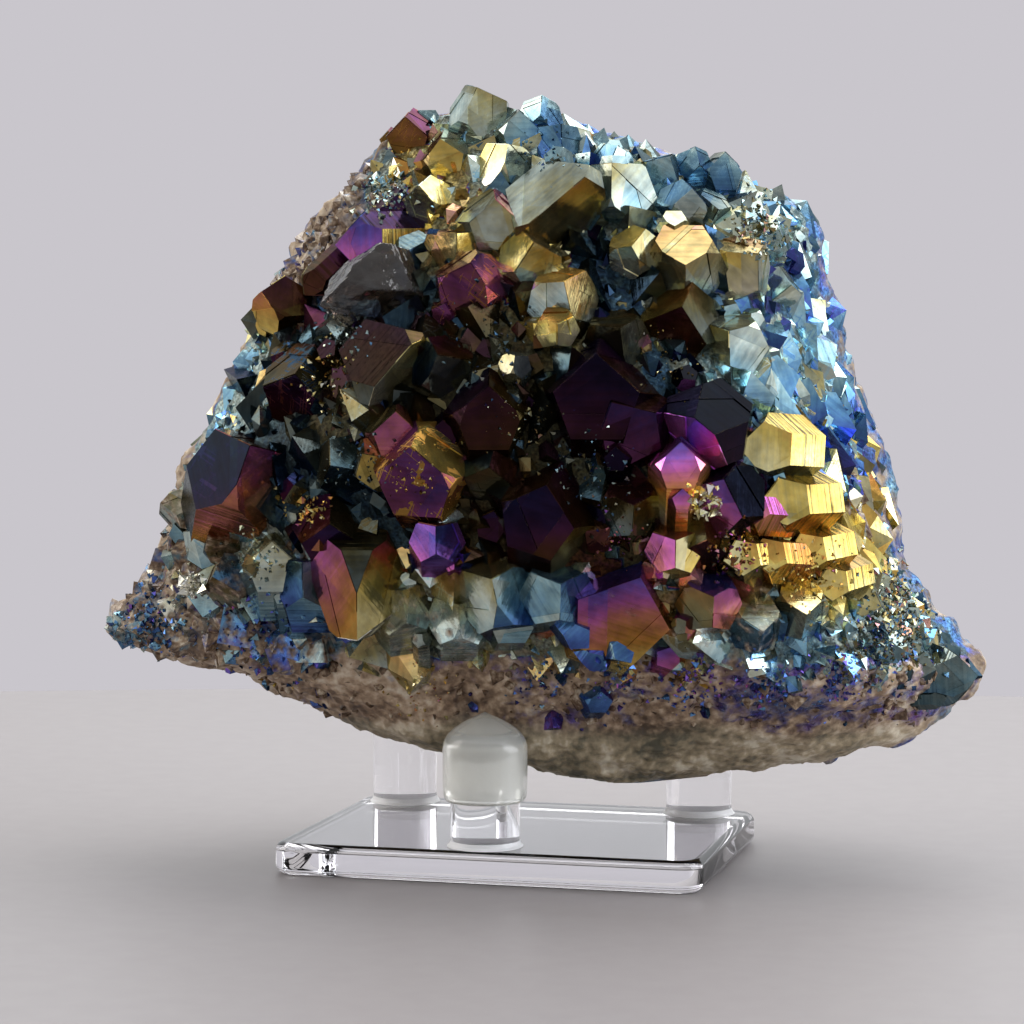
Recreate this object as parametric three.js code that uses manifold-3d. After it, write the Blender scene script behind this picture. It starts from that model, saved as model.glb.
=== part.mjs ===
// Aura quartz cluster resting on a clear acrylic stand with three capped pegs.
// Millimetres, +Z up. Origin: middle of the plate's underside; the plate's edges lie along X and Y.
import * as THREE from "three";
import { mergeVertices } from "three/addons/utils/BufferGeometryUtils.js";
import { ConvexGeometry } from "three/addons/geometries/ConvexGeometry.js";
import Module from "manifold-3d";

// ---- driving dimensions ----
const plate = { length: 60, depth: 45, thickness: 4.4, corner: 3.5, edge: 1.2 };
const peg = { diameter: 9.5, sides: 24 };
const cap = { diameter: 11.6, height: 12.2, bore: 8.8, lip: 0.9, gap: 0.2 };
const capDome = { shoulder: 8.6, soft: 0.8, crown: 1.6, middle: 0.4 }; // start, rounding, two falls
const pegs = {
  front: { x: -0.8, y: -16.8, height: 14.8 },
  back_left: { x: -22.6, y: 17.6, height: 19.8 },
  back_right: { x: 22.1, y: 17.7, height: 19.8 },
};
const seatGap = 0.3; // room left between the stone and each cap that it rests on
const clusterTurn = 14.75; // degrees about Z, from the plate's front to the stone's crystal face
const bodyRows = 24; // rings of the stone's body from its keel to its top
const bodySteps = 32; // points in each ring
const bodyEnds = { keel: 1.2, top: 1.5 }; // how far its two ends stand past the last rings
const curveTension = 0.5;
const faceSlope = 51.8; // degrees between a quartz crystal's axis and the normal of its tip faces
const minorFace = 0.1; // how far the three smaller tip faces stand off, as a share of the width
const narrowFaces = 0.92; // reach of every second prism face, as a share of the others'
const root = { share: 0.6, extra: 2 }; // how deep a crystal is rooted: a share of its width, and more

// Level sections of the stone's body. Each row is a height and nine points [across, back] round it:
// left edge, four points along the crystal face, right edge, three points along the rough back.
const sections = [
  [11.6, [5, 0], [9, -3], [14, -4], [20, -4], [25, -3], [29, 0], [24, 3], [16, 4], [9, 3]],
  [13.5, [-5, 0], [2, -5], [10, -7], [22, -7], [33, -5], [41, 0], [31, 4], [18, 5], [4, 5]],
  [17, [-20, 3], [-13, -6], [4, -10], [24, -10], [42, -8], [54, 0], [36, 4], [16, 5], [-6, 9]],
  [22, [-33, 5], [-20, -8], [0, -11], [26, -15], [50, -11], [60, 1], [40, 5], [16, 6], [-12, 13]],
  [26.5, [-42, 6], [-30, -9], [0, -14], [28, -20], [52, -14], [64, 2], [42, 6], [18, 5], [-18, 17]],
  [31, [-59.5, 8], [-37, -10], [-1, -17], [27, -23], [50, -15], [61.5, 4], [46, 19], [13, 23], [-25, 25]],
  [41, [-53, 8], [-37, -14], [-6, -24], [20, -28], [43, -17], [54, 8], [43, 28], [6, 33], [-32, 28]],
  [55, [-47.5, 7], [-34, -16], [-6, -28], [20, -29], [38, -19], [52.5, 12], [42, 30], [4, 35], [-30, 29]],
  [68, [-41.5, 8], [-29, -13], [-6, -26], [18, -26], [34, -16], [48, 14], [38, 30], [3, 34], [-26, 29]],
  [80, [-36.5, 9], [-23, -8], [-5, -19], [15, -19], [31, -12], [44.5, 14], [35, 28], [3, 31], [-22, 27]],
  [92, [-28.5, 10], [-17, -1], [-4, -10], [13, -10], [28, -5], [41, 13], [30, 25], [3, 27], [-17, 24]],
  [100, [-21, 11], [-13, 4], [-4, -1], [7, -1], [15, 3], [20, 12], [15, 20], [0, 22], [-12, 20]],
  [105.5, [-14, 12], [-10, 8], [-6, 5], [-2, 5], [2, 8], [3.5, 12], [1, 15], [-4, 16], [-9, 15]],
];
const stations = sections[0].length - 1;
const rightEdge = 5; // the crystal face runs from station 0, the left edge, to this one

// The larger crystals. Each row: where the axis leaves the body [across, height], width over the
// prism faces, how far the tip stands out along the axis, how many degrees the axis leans to the
// right and upwards from straight out of the face, and the turn of its first tip face.
const crystals = {
  maroonTop: [-14, 102, 6.5, 6, -35, 30, 90],
  purpleStriated: [-17, 86, 13, 8, -30, 25, 90],
  smokyChip: [-21, 79, 12, 5, -10, 15, 20],
  goldSliver: [-32.5, 77.5, 6.5, 6, -40, 25, 0],
  redBrown: [-18, 68.5, 9, 5, -20, -10, 45],
  magentaScratched: [-6, 80.5, 9, 6, 10, 20, 210],
  brownLeft: [-29, 65, 11, 6, -25, 12, 230],
  indigoBlock: [-35, 54, 15, 9, 5, 30, 90],
  purpleGold: [-14, 57.5, 13, 7, 8, 20, 90],
  silverMidget: [-1, 69, 4, 4, 0, 30, 80],
  mauveSmall: [-16.5, 62.5, 6, 4, -5, 15, 30],
  oliveOrange: [-4, 89, 8, 5, 5, 35, 290],
  greyOlive: [6.5, 89.5, 13, 7, 8, 38, 135],
  paleGreen: [14, 92.5, 8, 6, -5, 45, 80],
  goldPoint: [14, 82.5, 6.5, 5, -5, 30, 150],
  oliveSilver: [24, 82, 10, 7, 5, 35, 350],
  goldRight: [30.5, 82, 8, 6, 25, 30, 200],
  yellowBright: [5, 76.5, 7.5, 6, 0, 15, 60],
  darkRound: [20, 73.5, 10, 6, 0, 25, 30],
  silverBlock: [27.5, 71, 7, 5, 5, 35, 200],
  purpleHeart: [8, 65.5, 12.5, 8, -8, 12, 200],
  darkMiddle: [-3, 62, 9, 7, -5, 12, 100],
  indigoMagenta: [11.5, 61, 9, 6, -20, 15, 165],
  navyMauve: [23, 59.5, 14, 8, -5, 22, 230],
  pinkFire: [19.5, 56.5, 6.5, 7, 0, 25, 270],
  navyLower: [27, 53, 9, 7, 20, 18, 20],
  goldPrismOne: [36, 60, 9, 6, -40, 5, 60],
  goldPrismTwo: [38, 54, 9, 6, -40, 0, 0],
  goldPrismThree: [33, 51, 7, 5, -35, 5, 30],
  goldPrismFour: [38, 46, 9, 5, -35, -5, 60],
  goldPrismFive: [42, 41, 8, 5, -30, -5, 20],
  purpleLower: [3, 52.5, 11, 8, 5, 10, 80],
  mauveTriangle: [-25, 44.5, 11, 7, -30, 10, 60],
  olivePink: [-17.5, 43.5, 8, 6, 0, 15, 200],
  violetPair: [-11.5, 45.5, 6.5, 6, 0, 32, 80],
  blueLeft: [-29, 40.5, 8, 5, -5, 35, 80],
  silverTeal: [-34, 41, 8, 5, 0, 30, 210],
  oliveLow: [-16, 37, 7, 5, 0, 20, 100],
  striatedSilver: [-4, 40.5, 11, 6, -10, 15, 220],
  goldLow: [-7, 35, 6, 5, 0, 10, 140],
  blueGrey: [5.5, 39.5, 8, 6, 5, 15, 330],
  blueBladeOne: [9, 33, 5, 6, 15, -25, 40],
  blueBladeTwo: [13, 34, 5, 6, 20, -20, 70],
  mauveLarge: [14, 41.5, 15, 9, 15, 30, 225],
  pinkYellow: [20, 45, 6, 6, -5, 25, 320],
  pinkRound: [24, 38, 7, 6, 5, 10, 70],
  brownBlock: [23, 47.5, 7, 5, 10, 0, 30],
  leftTooth: [-47, 48, 5, 4, -50, 15, 150],
  crownOne: [-6, 104.5, 7, 4.5, -5, 55, 60],
  crownTwo: [-0.5, 102.5, 5, 3.5, 5, 50, 10],
  crownThree: [5, 101, 5, 3.5, 10, 50, 100],
  crownFour: [-10, 98, 6, 4, -15, 35, 40],
  crownFive: [-2, 97, 6.5, 4, 0, 40, 80],
  crownSix: [-13, 92, 6, 4, -20, 30, 20],
  crownSeven: [13, 98.5, 5.5, 4, 15, 50, 60],
  crownEight: [20, 97, 5, 4, 20, 45, 110],
  upperRightOne: [22, 91, 6, 4, 20, 40, 30],
  upperRightTwo: [29, 91, 6, 4, 30, 35, 70],
  upperRightThree: [35, 87, 6, 4, 45, 30, 10],
  oliveWedge: [-8, 85, 6, 4, -5, 30, 90],
  oliveFlat: [3, 83.5, 7, 4, 5, 30, 50],
  lowRightOne: [46, 38, 6, 4, 35, -5, 40],
  lowRightTwo: [49, 32, 5, 4, 45, -5, 90],
  lowRightThree: [37, 37, 7, 5, 20, -5, 70],
  lowRightFour: [31, 34, 6, 4, 15, -10, 20],
  rightTip: [57, 25, 6.5, 4, 65, 5, 60],
  lowLeftOne: [-41, 40, 7, 4, -30, 10, 30],
  lowLeftTwo: [-46, 36, 7, 4, -35, 5, 80],
  lowLeftThree: [-40, 46, 6, 4, -30, 15, 50],
  lowLeftFour: [-23, 35, 7, 4, -15, 5, 110],
  creviceOne: [-24, 56, 8, 4, -20, 5, 50],
  creviceTwo: [-5, 56, 7, 4, -5, 5, 20],
  creviceThree: [15, 51, 6, 4, 5, 5, 90],
  creviceFour: [-10, 69, 8, 4, -10, 20, 60],
  creviceFive: [13, 70, 8, 4, 5, 20, 100],
  creviceSix: [-26, 73, 7, 4, -25, 20, 10],
};

// ---- solids: a closed mesh goes in, joins and cuts are made, a closed mesh comes out ----
const wasm = await Module();
wasm.setup();

function solidFrom(geometry) {
  const bare = geometry.clone();
  bare.deleteAttribute("normal");
  bare.deleteAttribute("uv");
  const merged = mergeVertices(bare, 1e-4);
  return new wasm.Manifold(new wasm.Mesh({
    numProp: 3,
    vertProperties: new Float32Array(merged.attributes.position.array),
    triVerts: new Uint32Array(merged.index.array),
  }));
}

function geometryFrom(solid) {
  const { vertProperties, triVerts } = solid.getMesh();
  const geometry = new THREE.BufferGeometry();
  geometry.setAttribute("position", new THREE.BufferAttribute(vertProperties, 3));
  geometry.setIndex(new THREE.BufferAttribute(triVerts, 1));
  geometry.computeVertexNormals();
  return geometry;
}

// ---- the stone's body: nine curves from keel to top, joined by a closed curve at each level ----
const stationCurves = [];
for (let k = 1; k <= stations; k += 1) {
  const points = sections.map((row) => new THREE.Vector3(row[k][0], row[k][1], row[0]));
  stationCurves.push(new THREE.CatmullRomCurve3(points, false, "catmullrom", curveTension));
}

function ringAt(rise) {
  const corners = stationCurves.map((curve) => curve.getPoint(rise));
  return new THREE.CatmullRomCurve3(corners, true, "catmullrom", curveTension);
}

function middleOf(points, raised) {
  const sum = points.reduce((total, point) => total.add(point), new THREE.Vector3());
  return sum.divideScalar(points.length).add(new THREE.Vector3(0, 0, raised));
}

function bodyGeometry() {
  const rings = [];
  for (let row = 0; row <= bodyRows; row += 1) {
    rings.push(ringAt(row / bodyRows).getPoints(bodySteps).slice(0, bodySteps));
  }
  const keelEnd = middleOf(rings[0], -bodyEnds.keel);
  const topEnd = middleOf(rings[bodyRows], bodyEnds.top);
  const points = [...rings.flat(), keelEnd, topEnd];
  const keel = points.length - 2;
  const top = points.length - 1;
  const index = [];
  for (let step = 0; step < bodySteps; step += 1) {
    const next = (step + 1) % bodySteps;
    for (let row = 0; row < bodyRows; row += 1) {
      const here = row * bodySteps;
      const above = here + bodySteps;
      index.push(here + step, here + next, above + next);
      index.push(here + step, above + next, above + step);
    }
    index.push(keel, next, step);
    index.push(top, bodyRows * bodySteps + step, bodyRows * bodySteps + next);
  }
  const geometry = new THREE.BufferGeometry().setFromPoints(points);
  geometry.setIndex(index);
  return geometry;
}

// The number between low and high at which a rising function reaches a target.
function solveRising(target, low, high, valueAt) {
  let from = low;
  let to = high;
  for (let pass = 0; pass < 30; pass += 1) {
    const half = (from + to) / 2;
    if (valueAt(half) < target) from = half;
    else to = half;
  }
  return (from + to) / 2;
}

// The point of the crystal face at a place across and a height.
function facePoint(across, height) {
  const rise = solveRising(height, 0, 1, (t) => stationCurves[0].getPoint(t).z);
  const ring = ringAt(rise);
  const around = solveRising(across, 0, rightEdge / stations, (t) => ring.getPoint(t).x);
  return ring.getPoint(around);
}

// ---- a quartz crystal: six prism faces, three large and three small tip faces, a flat root ----
function crystalGeometry(width, length, spin) {
  const slope = THREE.MathUtils.degToRad(faceSlope);
  const planes = [{ normal: new THREE.Vector3(0, 0, -1), reach: length }];
  for (let k = 0; k < 6; k += 1) {
    const angle = THREE.MathUtils.degToRad(spin + 60 * k);
    const out = new THREE.Vector3(Math.cos(angle), Math.sin(angle), 0);
    const lean = out.clone().multiplyScalar(Math.sin(slope)).setZ(Math.cos(slope));
    planes.push({ normal: out, reach: (width / 2) * (k % 2 ? narrowFaces : 1) });
    planes.push({ normal: lean, reach: k % 2 ? minorFace * width : 0 });
  }
  const corners = [];
  for (let a = 0; a < planes.length; a += 1) {
    for (let b = a + 1; b < planes.length; b += 1) {
      for (let c = b + 1; c < planes.length; c += 1) {
        const corner = meetingPoint(planes[a], planes[b], planes[c]);
        const inside = corner && planes.every((p) => p.normal.dot(corner) <= p.reach + 1e-6);
        if (inside) corners.push(corner);
      }
    }
  }
  return new ConvexGeometry(corners);
}

// The point where three planes meet, or nothing if two of them are parallel.
function meetingPoint(a, b, c) {
  const bc = b.normal.clone().cross(c.normal);
  const ca = c.normal.clone().cross(a.normal);
  const ab = a.normal.clone().cross(b.normal);
  const volume = a.normal.dot(bc);
  if (Math.abs(volume) < 1e-6) return null;
  bc.multiplyScalar(a.reach).addScaledVector(ca, b.reach).addScaledVector(ab, c.reach);
  return bc.divideScalar(volume);
}

function crystalOnFace([across, height, width, proud, right, up, spin]) {
  const rightward = THREE.MathUtils.degToRad(right);
  const upward = THREE.MathUtils.degToRad(up);
  const axis = new THREE.Vector3(
    Math.sin(rightward) * Math.cos(upward),
    -Math.cos(rightward) * Math.cos(upward),
    Math.sin(upward),
  );
  const side = new THREE.Vector3(0, 0, 1).cross(axis).normalize();
  const over = axis.clone().cross(side);
  const tip = facePoint(across, height).addScaledVector(axis, proud);
  const place = new THREE.Matrix4().makeBasis(side, over, axis).setPosition(tip);
  return crystalGeometry(width, proud + width * root.share + root.extra, spin).applyMatrix4(place);
}

// ---- the stand ----
const clearAcrylic = new THREE.MeshStandardMaterial({ color: 0xdfe4ea, roughness: 0.05, metalness: 0 });
const milkySilicone = new THREE.MeshStandardMaterial({ color: 0xc9cbbd, roughness: 0.5, metalness: 0 });

function plateGeometry() {
  const { length, depth, thickness, corner, edge } = plate;
  const x = length / 2;
  const y = depth / 2;
  const outline = new THREE.Shape();
  outline.moveTo(-x + corner, -y);
  outline.lineTo(x - corner, -y);
  outline.absarc(x - corner, -y + corner, corner, -Math.PI / 2, 0);
  outline.lineTo(x, y - corner);
  outline.absarc(x - corner, y - corner, corner, 0, Math.PI / 2);
  outline.lineTo(-x + corner, y);
  outline.absarc(-x + corner, y - corner, corner, Math.PI / 2, Math.PI);
  outline.lineTo(-x, -y + corner);
  outline.absarc(-x + corner, -y + corner, corner, Math.PI, 1.5 * Math.PI);
  const geometry = new THREE.ExtrudeGeometry(outline, {
    depth: thickness - 2 * edge,
    bevelThickness: edge,
    bevelSize: edge,
    bevelOffset: -edge,
    bevelSegments: 2,
    curveSegments: 4,
  });
  return geometry.translate(0, 0, edge);
}

// The outside of a cap, from its rim to its top: rounded rim, straight wall, soft shoulder, low dome.
function capOutside(extra) {
  const outer = cap.diameter / 2 + extra;
  const top = cap.height + extra;
  return [
    [outer - cap.lip, -extra],
    [outer - cap.lip / 3, cap.lip / 3],
    [outer, cap.lip],
    [outer, capDome.shoulder],
    [outer - capDome.soft, capDome.shoulder + capDome.soft],
    [(outer * 3) / 5, top - capDome.crown],
    [(outer * 3) / 10, top - capDome.middle],
    [0, top],
  ];
}

function turned(profile) {
  const points = profile.map(([radius, height]) => new THREE.Vector2(radius, height));
  return new THREE.LatheGeometry(points, peg.sides).rotateX(Math.PI / 2);
}

// A cup, mouth down, over the end of its peg.
function capGeometry() {
  const inner = peg.diameter / 2 + cap.gap;
  return turned([[0, cap.bore], [inner, cap.bore], [inner, 0], ...capOutside(0)]);
}

// The room that a cap takes out of the stone above it.
function capRoom() {
  return turned([[0, -seatGap], ...capOutside(seatGap)]);
}

function seatHeight({ height }) {
  return plate.thickness + height + cap.gap - cap.bore;
}

// ---- the finished group ----
const group = new THREE.Group();
function addPart(name, geometry, material, parent = group) {
  const mesh = new THREE.Mesh(geometry, material);
  mesh.name = name;
  parent.add(mesh);
  return mesh;
}

addPart("stand_base", plateGeometry(), clearAcrylic);
for (const [name, place] of Object.entries(pegs)) {
  const rod = new THREE.CylinderGeometry(peg.diameter / 2, peg.diameter / 2, place.height, peg.sides);
  const rodMesh = addPart(`peg_${name}`, rod.rotateX(Math.PI / 2), clearAcrylic);
  rodMesh.position.set(place.x, place.y, plate.thickness + place.height / 2);
  addPart(`cap_${name}`, capGeometry(), milkySilicone).position.set(place.x, place.y, seatHeight(place));
}

const stoneGroup = new THREE.Group();
stoneGroup.rotation.z = THREE.MathUtils.degToRad(clusterTurn);
group.add(stoneGroup);
const intoStone = new THREE.Matrix4().makeRotationZ(-THREE.MathUtils.degToRad(clusterTurn));
let stone = solidFrom(bodyGeometry());
for (const row of Object.values(crystals)) {
  stone = stone.add(solidFrom(crystalOnFace(row)));
}
for (const place of Object.values(pegs)) {
  const room = capRoom().translate(place.x, place.y, seatHeight(place));
  stone = stone.subtract(solidFrom(room.applyMatrix4(intoStone)));
}
const coatedQuartz = new THREE.MeshStandardMaterial({ color: 0x4a3f6b, roughness: 0.2, metalness: 0.6 });
addPart("aura_quartz_cluster", geometryFrom(stone), coatedQuartz, stoneGroup);

export default group;
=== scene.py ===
import functools
import itertools
import math

import bpy
import numpy as np
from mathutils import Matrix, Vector
from mathutils.bvhtree import BVHTree


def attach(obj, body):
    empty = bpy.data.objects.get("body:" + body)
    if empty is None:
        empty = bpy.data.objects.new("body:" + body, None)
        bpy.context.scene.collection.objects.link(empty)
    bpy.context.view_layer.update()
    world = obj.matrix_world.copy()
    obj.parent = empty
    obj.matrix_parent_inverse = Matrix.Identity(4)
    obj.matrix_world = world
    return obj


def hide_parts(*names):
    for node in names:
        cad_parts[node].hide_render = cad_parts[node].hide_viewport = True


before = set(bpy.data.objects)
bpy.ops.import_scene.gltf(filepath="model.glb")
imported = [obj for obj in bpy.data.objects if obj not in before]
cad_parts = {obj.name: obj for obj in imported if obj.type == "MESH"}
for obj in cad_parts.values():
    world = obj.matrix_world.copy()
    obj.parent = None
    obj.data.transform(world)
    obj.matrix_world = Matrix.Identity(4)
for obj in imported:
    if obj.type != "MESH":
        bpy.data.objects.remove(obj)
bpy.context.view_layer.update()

mm = 0.001

# Stone shapes are worked out in millimetres in the stone's own axes: x across the crystal face to
# the right, y into the stone, z up. This turn brings them to the stand's axes.
clusterTurn = math.radians(14.75)


def toStand(points):
    # turned about the upright axis, then millimetres to metres
    c, s = math.cos(clusterTurn), math.sin(clusterTurn)
    x, y, z = np.moveaxis(np.asarray(points, float), -1, 0)
    return np.stack([c * x - s * y, s * x + c * y, z], axis=-1) * mm


def hashed(cells, seed):
    # one number from 0 to 1 for each whole-numbered cell: its numbers times large primes, bits mixed
    mixed = cells.astype(np.int64) @ np.array([73856093, 19349663, 83492791]) + seed * 668265263
    mixed = (mixed ^ (mixed >> 13)) * 1274126177
    mixed = mixed ^ (mixed >> 16)
    return (mixed & 0xFFFFFF) / 0xFFFFFF


def unit(vectors):
    # each vector over its own length
    return vectors / np.maximum(np.linalg.norm(vectors, axis=-1, keepdims=True), 1e-9)


def softNoise(points, size, seed):
    # from -1 to 1: a random value at each corner of a cubic lattice, blended by a smooth step
    scaled = np.asarray(points) / size
    low = np.floor(scaled)
    blend = (scaled - low) ** 2 * (3 - 2 * (scaled - low))
    total = 0
    for corner in itertools.product((0, 1), repeat=3):
        share = np.prod(np.where(np.array(corner) == 1, blend, 1 - blend), axis=-1)
        total = total + share * hashed(low + np.array(corner), seed)
    return 2 * total - 1


def grainDistance(points, size, seed):
    # distance to the nearest grain centre, one in each lattice cell, as a share of the cell
    scaled = np.asarray(points) / size
    low = np.floor(scaled)
    nearest = np.full(scaled.shape[:-1], 9.0)
    for step in itertools.product((-1, 0, 1), repeat=3):
        cell = low + np.array(step)
        centre = cell + np.stack([hashed(cell, seed + k) for k in range(3)], axis=-1)
        nearest = np.minimum(nearest, np.linalg.norm(scaled - centre, axis=-1))
    return nearest


def smoothStep(low, high, value):
    # 0 below low, 1 above high, and between them three times the square less twice the cube
    t = np.clip((value - low) / (high - low), 0, 1)
    return t * t * (3 - 2 * t)


def throughPoints(points, t, closed):
    # a cubic from each point to the next, whose slope at a point is half the step between its two
    # neighbours; points is (samples or 1, count, numbers), t goes from 0 to 1
    if closed:
        before, after = points[:, -1:], points[:, :2]
    else:
        before = 2 * points[:, :1] - points[:, 1:2]
        after = 2 * points[:, -1:] - points[:, -2:-1]
    spans = points.shape[1] - (0 if closed else 1)
    padded = np.concatenate([before, points, after], axis=1)
    padded = np.broadcast_to(padded, (len(t),) + padded.shape[1:])
    span = np.minimum((t * spans).astype(int), spans - 1)
    w = (t * spans - span)[:, None]
    p0, p1, p2, p3 = [padded[np.arange(len(t)), span + k] for k in range(4)]
    a = (p2 - p0) / 2
    b = (p3 - p1) / 2
    return p1 + a * w + (3 * (p2 - p1) - 2 * a - b) * w**2 + (2 * (p1 - p2) + a + b) * w**3


# The stone's body by level sections: a height, then nine points [across, back] round it (mm):
# left edge, four along the crystal face, right edge, three along the rough back.
sections = [
    [11.6, [5, 0], [9, -3], [14, -4], [20, -4], [25, -3], [29, 0], [24, 3], [16, 4], [9, 3]],
    [13.5, [-5, 0], [2, -5], [10, -7], [22, -7], [33, -5], [41, 0], [31, 4], [18, 5], [4, 5]],
    [17, [-20, 3], [-13, -6], [4, -10], [24, -10], [42, -8], [54, 0], [36, 4], [16, 5], [-6, 9]],
    [22, [-33, 5], [-20, -8], [0, -11], [26, -15], [50, -11], [60, 1], [40, 5], [16, 6], [-12, 13]],
    [26.5, [-42, 6], [-30, -9], [0, -14], [28, -20], [52, -14], [64, 2], [42, 6], [18, 5], [-18, 17]],
    [31, [-59.5, 8], [-37, -10], [-1, -17], [27, -23], [50, -15], [61.5, 4], [46, 19], [13, 23], [-25, 25]],
    [41, [-53, 8], [-37, -14], [-6, -24], [20, -28], [43, -17], [54, 8], [43, 28], [6, 33], [-32, 28]],
    [55, [-47.5, 7], [-34, -16], [-6, -28], [20, -29], [38, -19], [52.5, 12], [42, 30], [4, 35], [-30, 29]],
    [68, [-41.5, 8], [-29, -13], [-6, -26], [18, -26], [34, -16], [48, 14], [38, 30], [3, 34], [-26, 29]],
    [80, [-36.5, 9], [-23, -8], [-5, -19], [15, -19], [31, -12], [44.5, 14], [35, 28], [3, 31], [-22, 27]],
    [92, [-28.5, 10], [-17, -1], [-4, -10], [13, -10], [28, -5], [41, 13], [30, 25], [3, 27], [-17, 24]],
    [100, [-21, 11], [-13, 4], [-4, -1], [7, -1], [15, 3], [20, 12], [15, 20], [0, 22], [-12, 20]],
    [105.5, [-14, 12], [-10, 8], [-6, 5], [-2, 5], [2, 8], [3.5, 12], [1, 15], [-4, 16], [-9, 15]],
]
levels = np.array([[[x, y, height] for x, y in row] for height, *row in sections], float)
rightEdge = 5 / 9  # share of the way round at which the crystal face ends


def bodyPoint(rise, around):
    # nine curves go from keel to top through the sections; a closed curve joins them at each level
    flat = levels.reshape(1, len(levels), -1)
    stations = throughPoints(flat, np.clip(rise, 0, 1), False).reshape(len(rise), -1, 3)
    return throughPoints(stations, np.mod(around, 1), True)


def bodyAcross(rise, around, step):
    # the two tangents crossed: it points outward, and is as long as the patch is large
    sideways = bodyPoint(rise, around + step) - bodyPoint(rise, around - step)
    upward = bodyPoint(rise + step, around) - bodyPoint(rise - step, around)
    return np.cross(sideways, upward)


def bodyNormal(rise, around):
    # that product at unit length, from steps of 0.004 to each side
    return unit(bodyAcross(rise, around, 0.004))


def halved(count, highest, isBelow):
    # thirty halvings, which close on the number from 0 to highest where isBelow turns false
    low, high = np.zeros(count), np.full(count, highest)
    for _ in range(30):
        half = (low + high) / 2
        below = isBelow(half)
        low, high = np.where(below, half, low), np.where(below, high, half)
    return (low + high) / 2


def facePoint(across, height):
    # first the rise that gives the height, then the way round that gives the place across
    rise = halved(len(height), 1.0, lambda half: bodyPoint(half, np.zeros(len(half)))[:, 2] < height)
    around = halved(len(height), rightEdge, lambda half: bodyPoint(rise, half)[:, 0] < across)
    return bodyPoint(rise, around)


def linear(hexColour):
    # sRGB hex to linear light: a dark channel over 12.92, a lighter one by the power of 2.4
    channels = [int(hexColour[k:k + 2], 16) / 255 for k in (1, 3, 5)]
    return [c / 12.92 if c <= 0.04045 else ((c + 0.055) / 1.055) ** 2.4 for c in channels] + [1.0]


def addNode(tree, kind, inputs=(), stops=(), **settings):
    # adds a node; inputs go by name or number, or in order as a list, and each takes a value, a
    # socket, or a node, whose first output is then used; stops are a ramp's places and colours
    made = tree.nodes.new("ShaderNode" + kind)
    for name, value in settings.items():
        setattr(made, name, value)
    for socket, source in inputs.items() if isinstance(inputs, dict) else enumerate(inputs):
        if isinstance(source, bpy.types.Node):
            source = source.outputs[0]
        if isinstance(source, bpy.types.NodeSocket):
            tree.links.new(source, made.inputs[socket])
        else:
            made.inputs[socket].default_value = source
    for _ in stops[2:]:
        made.color_ramp.elements.new(0.5)
    if stops:
        for element, (position, colour) in zip(made.color_ramp.elements, sorted(stops)):
            element.position = position
            element.color = linear(colour)
    return made


def newMaterial(name):
    # an empty material, and addNode bound to its nodes
    material = bpy.data.materials.new(name)
    material.use_nodes = True
    material.node_tree.nodes.clear()
    return material, functools.partial(addNode, material.node_tree)


# Interference colours of a metal-oxide film on quartz, from thin to thick, as a share of the range.
filmStops = [
    (0.00, "#E9E6DA"), (0.10, "#E3D9A4"), (0.18, "#DBC168"), (0.26, "#CD9145"), (0.33, "#C97A6E"),
    (0.39, "#BC64A6"), (0.45, "#8259AE"), (0.51, "#5453A8"), (0.57, "#4A6BAC"), (0.63, "#5E8DB4"),
    (0.69, "#8BB1BC"), (0.76, "#BBC8BE"), (0.83, "#A8A172"), (0.90, "#B4935C"), (1.00, "#BE7E9E"),
]


def filmOver(add, look, place, bare, hue, light, coated):
    # the film's colour by its thickness, scaled by light, which carries the painted shading and
    # highlights, over the bare stone; where the film is broken it keeps soft-edged patches one or two
    # millimetres wide: a noise raised by the share coated. Gives the colour, where the film is, and how
    # metallic it is there: the film is thin enough for some of the light to come back out of the quartz
    # under it
    film = add("ValToRGB", [hue], filmStops)
    film = add("VectorMath", {0: film, "Scale": light}, operation="SCALE")
    size, detail = look["patch"]
    patch = add("TexNoise", {"Vector": place, "Scale": 1 / (size * mm), "Detail": detail})
    kept = add("MapRange", [coated, 0.0, 1.0, -0.3, 0.72])
    kept = add("Math", [patch, kept], operation="ADD")
    mask = add("MapRange", [kept, *look["patchEdge"]])
    colour = add("Mix", {0: mask, 6: bare, 7: film}, data_type="RGBA").outputs[2]
    return colour, mask, add("Math", [mask, look["metal"]], operation="MULTIPLY")


crystalLook = {
    "clouds": ((13, 2.0), (3.5, 4.0), (0.7, 4.0)),  # mm across and detail: wide, middle, fine
    "drift": 0.28, "mottle": 0.05, "lineGap": 0.55, "lineShift": 0.10, "lineTone": 1.6,
    "tones": (0.6, 1.35), "roughLow": 0.06, "roughHigh": 0.24, "metal": 0.87, "crumb": 1.36,
    "scratch": 0.012, "broken": 0.53, "wornHue": 0.24, "wornTone": 0.2, "wornRough": 0.3,
    "scratches": [((0.55, 0.35, 0.76), 1.6), ((-0.42, 0.66, 0.62), 2.0), ((0.86, -0.2, -0.47), 1.8)],
    "patch": (1.7, 2.5), "patchEdge": (0.64, 0.86), "relief": (1.1, 0.30, 0.9, 0.8), "deep": 0.08,
    "quartz": [(0.1, "#3A2C23"), (0.4, "#6A5442"), (0.65, "#937E67"), (0.95, "#C8BAA4")],
}
fineLook = dict(crystalLook, drift=0.2, mottle=0.22, roughLow=0.12, roughHigh=0.40)


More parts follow.
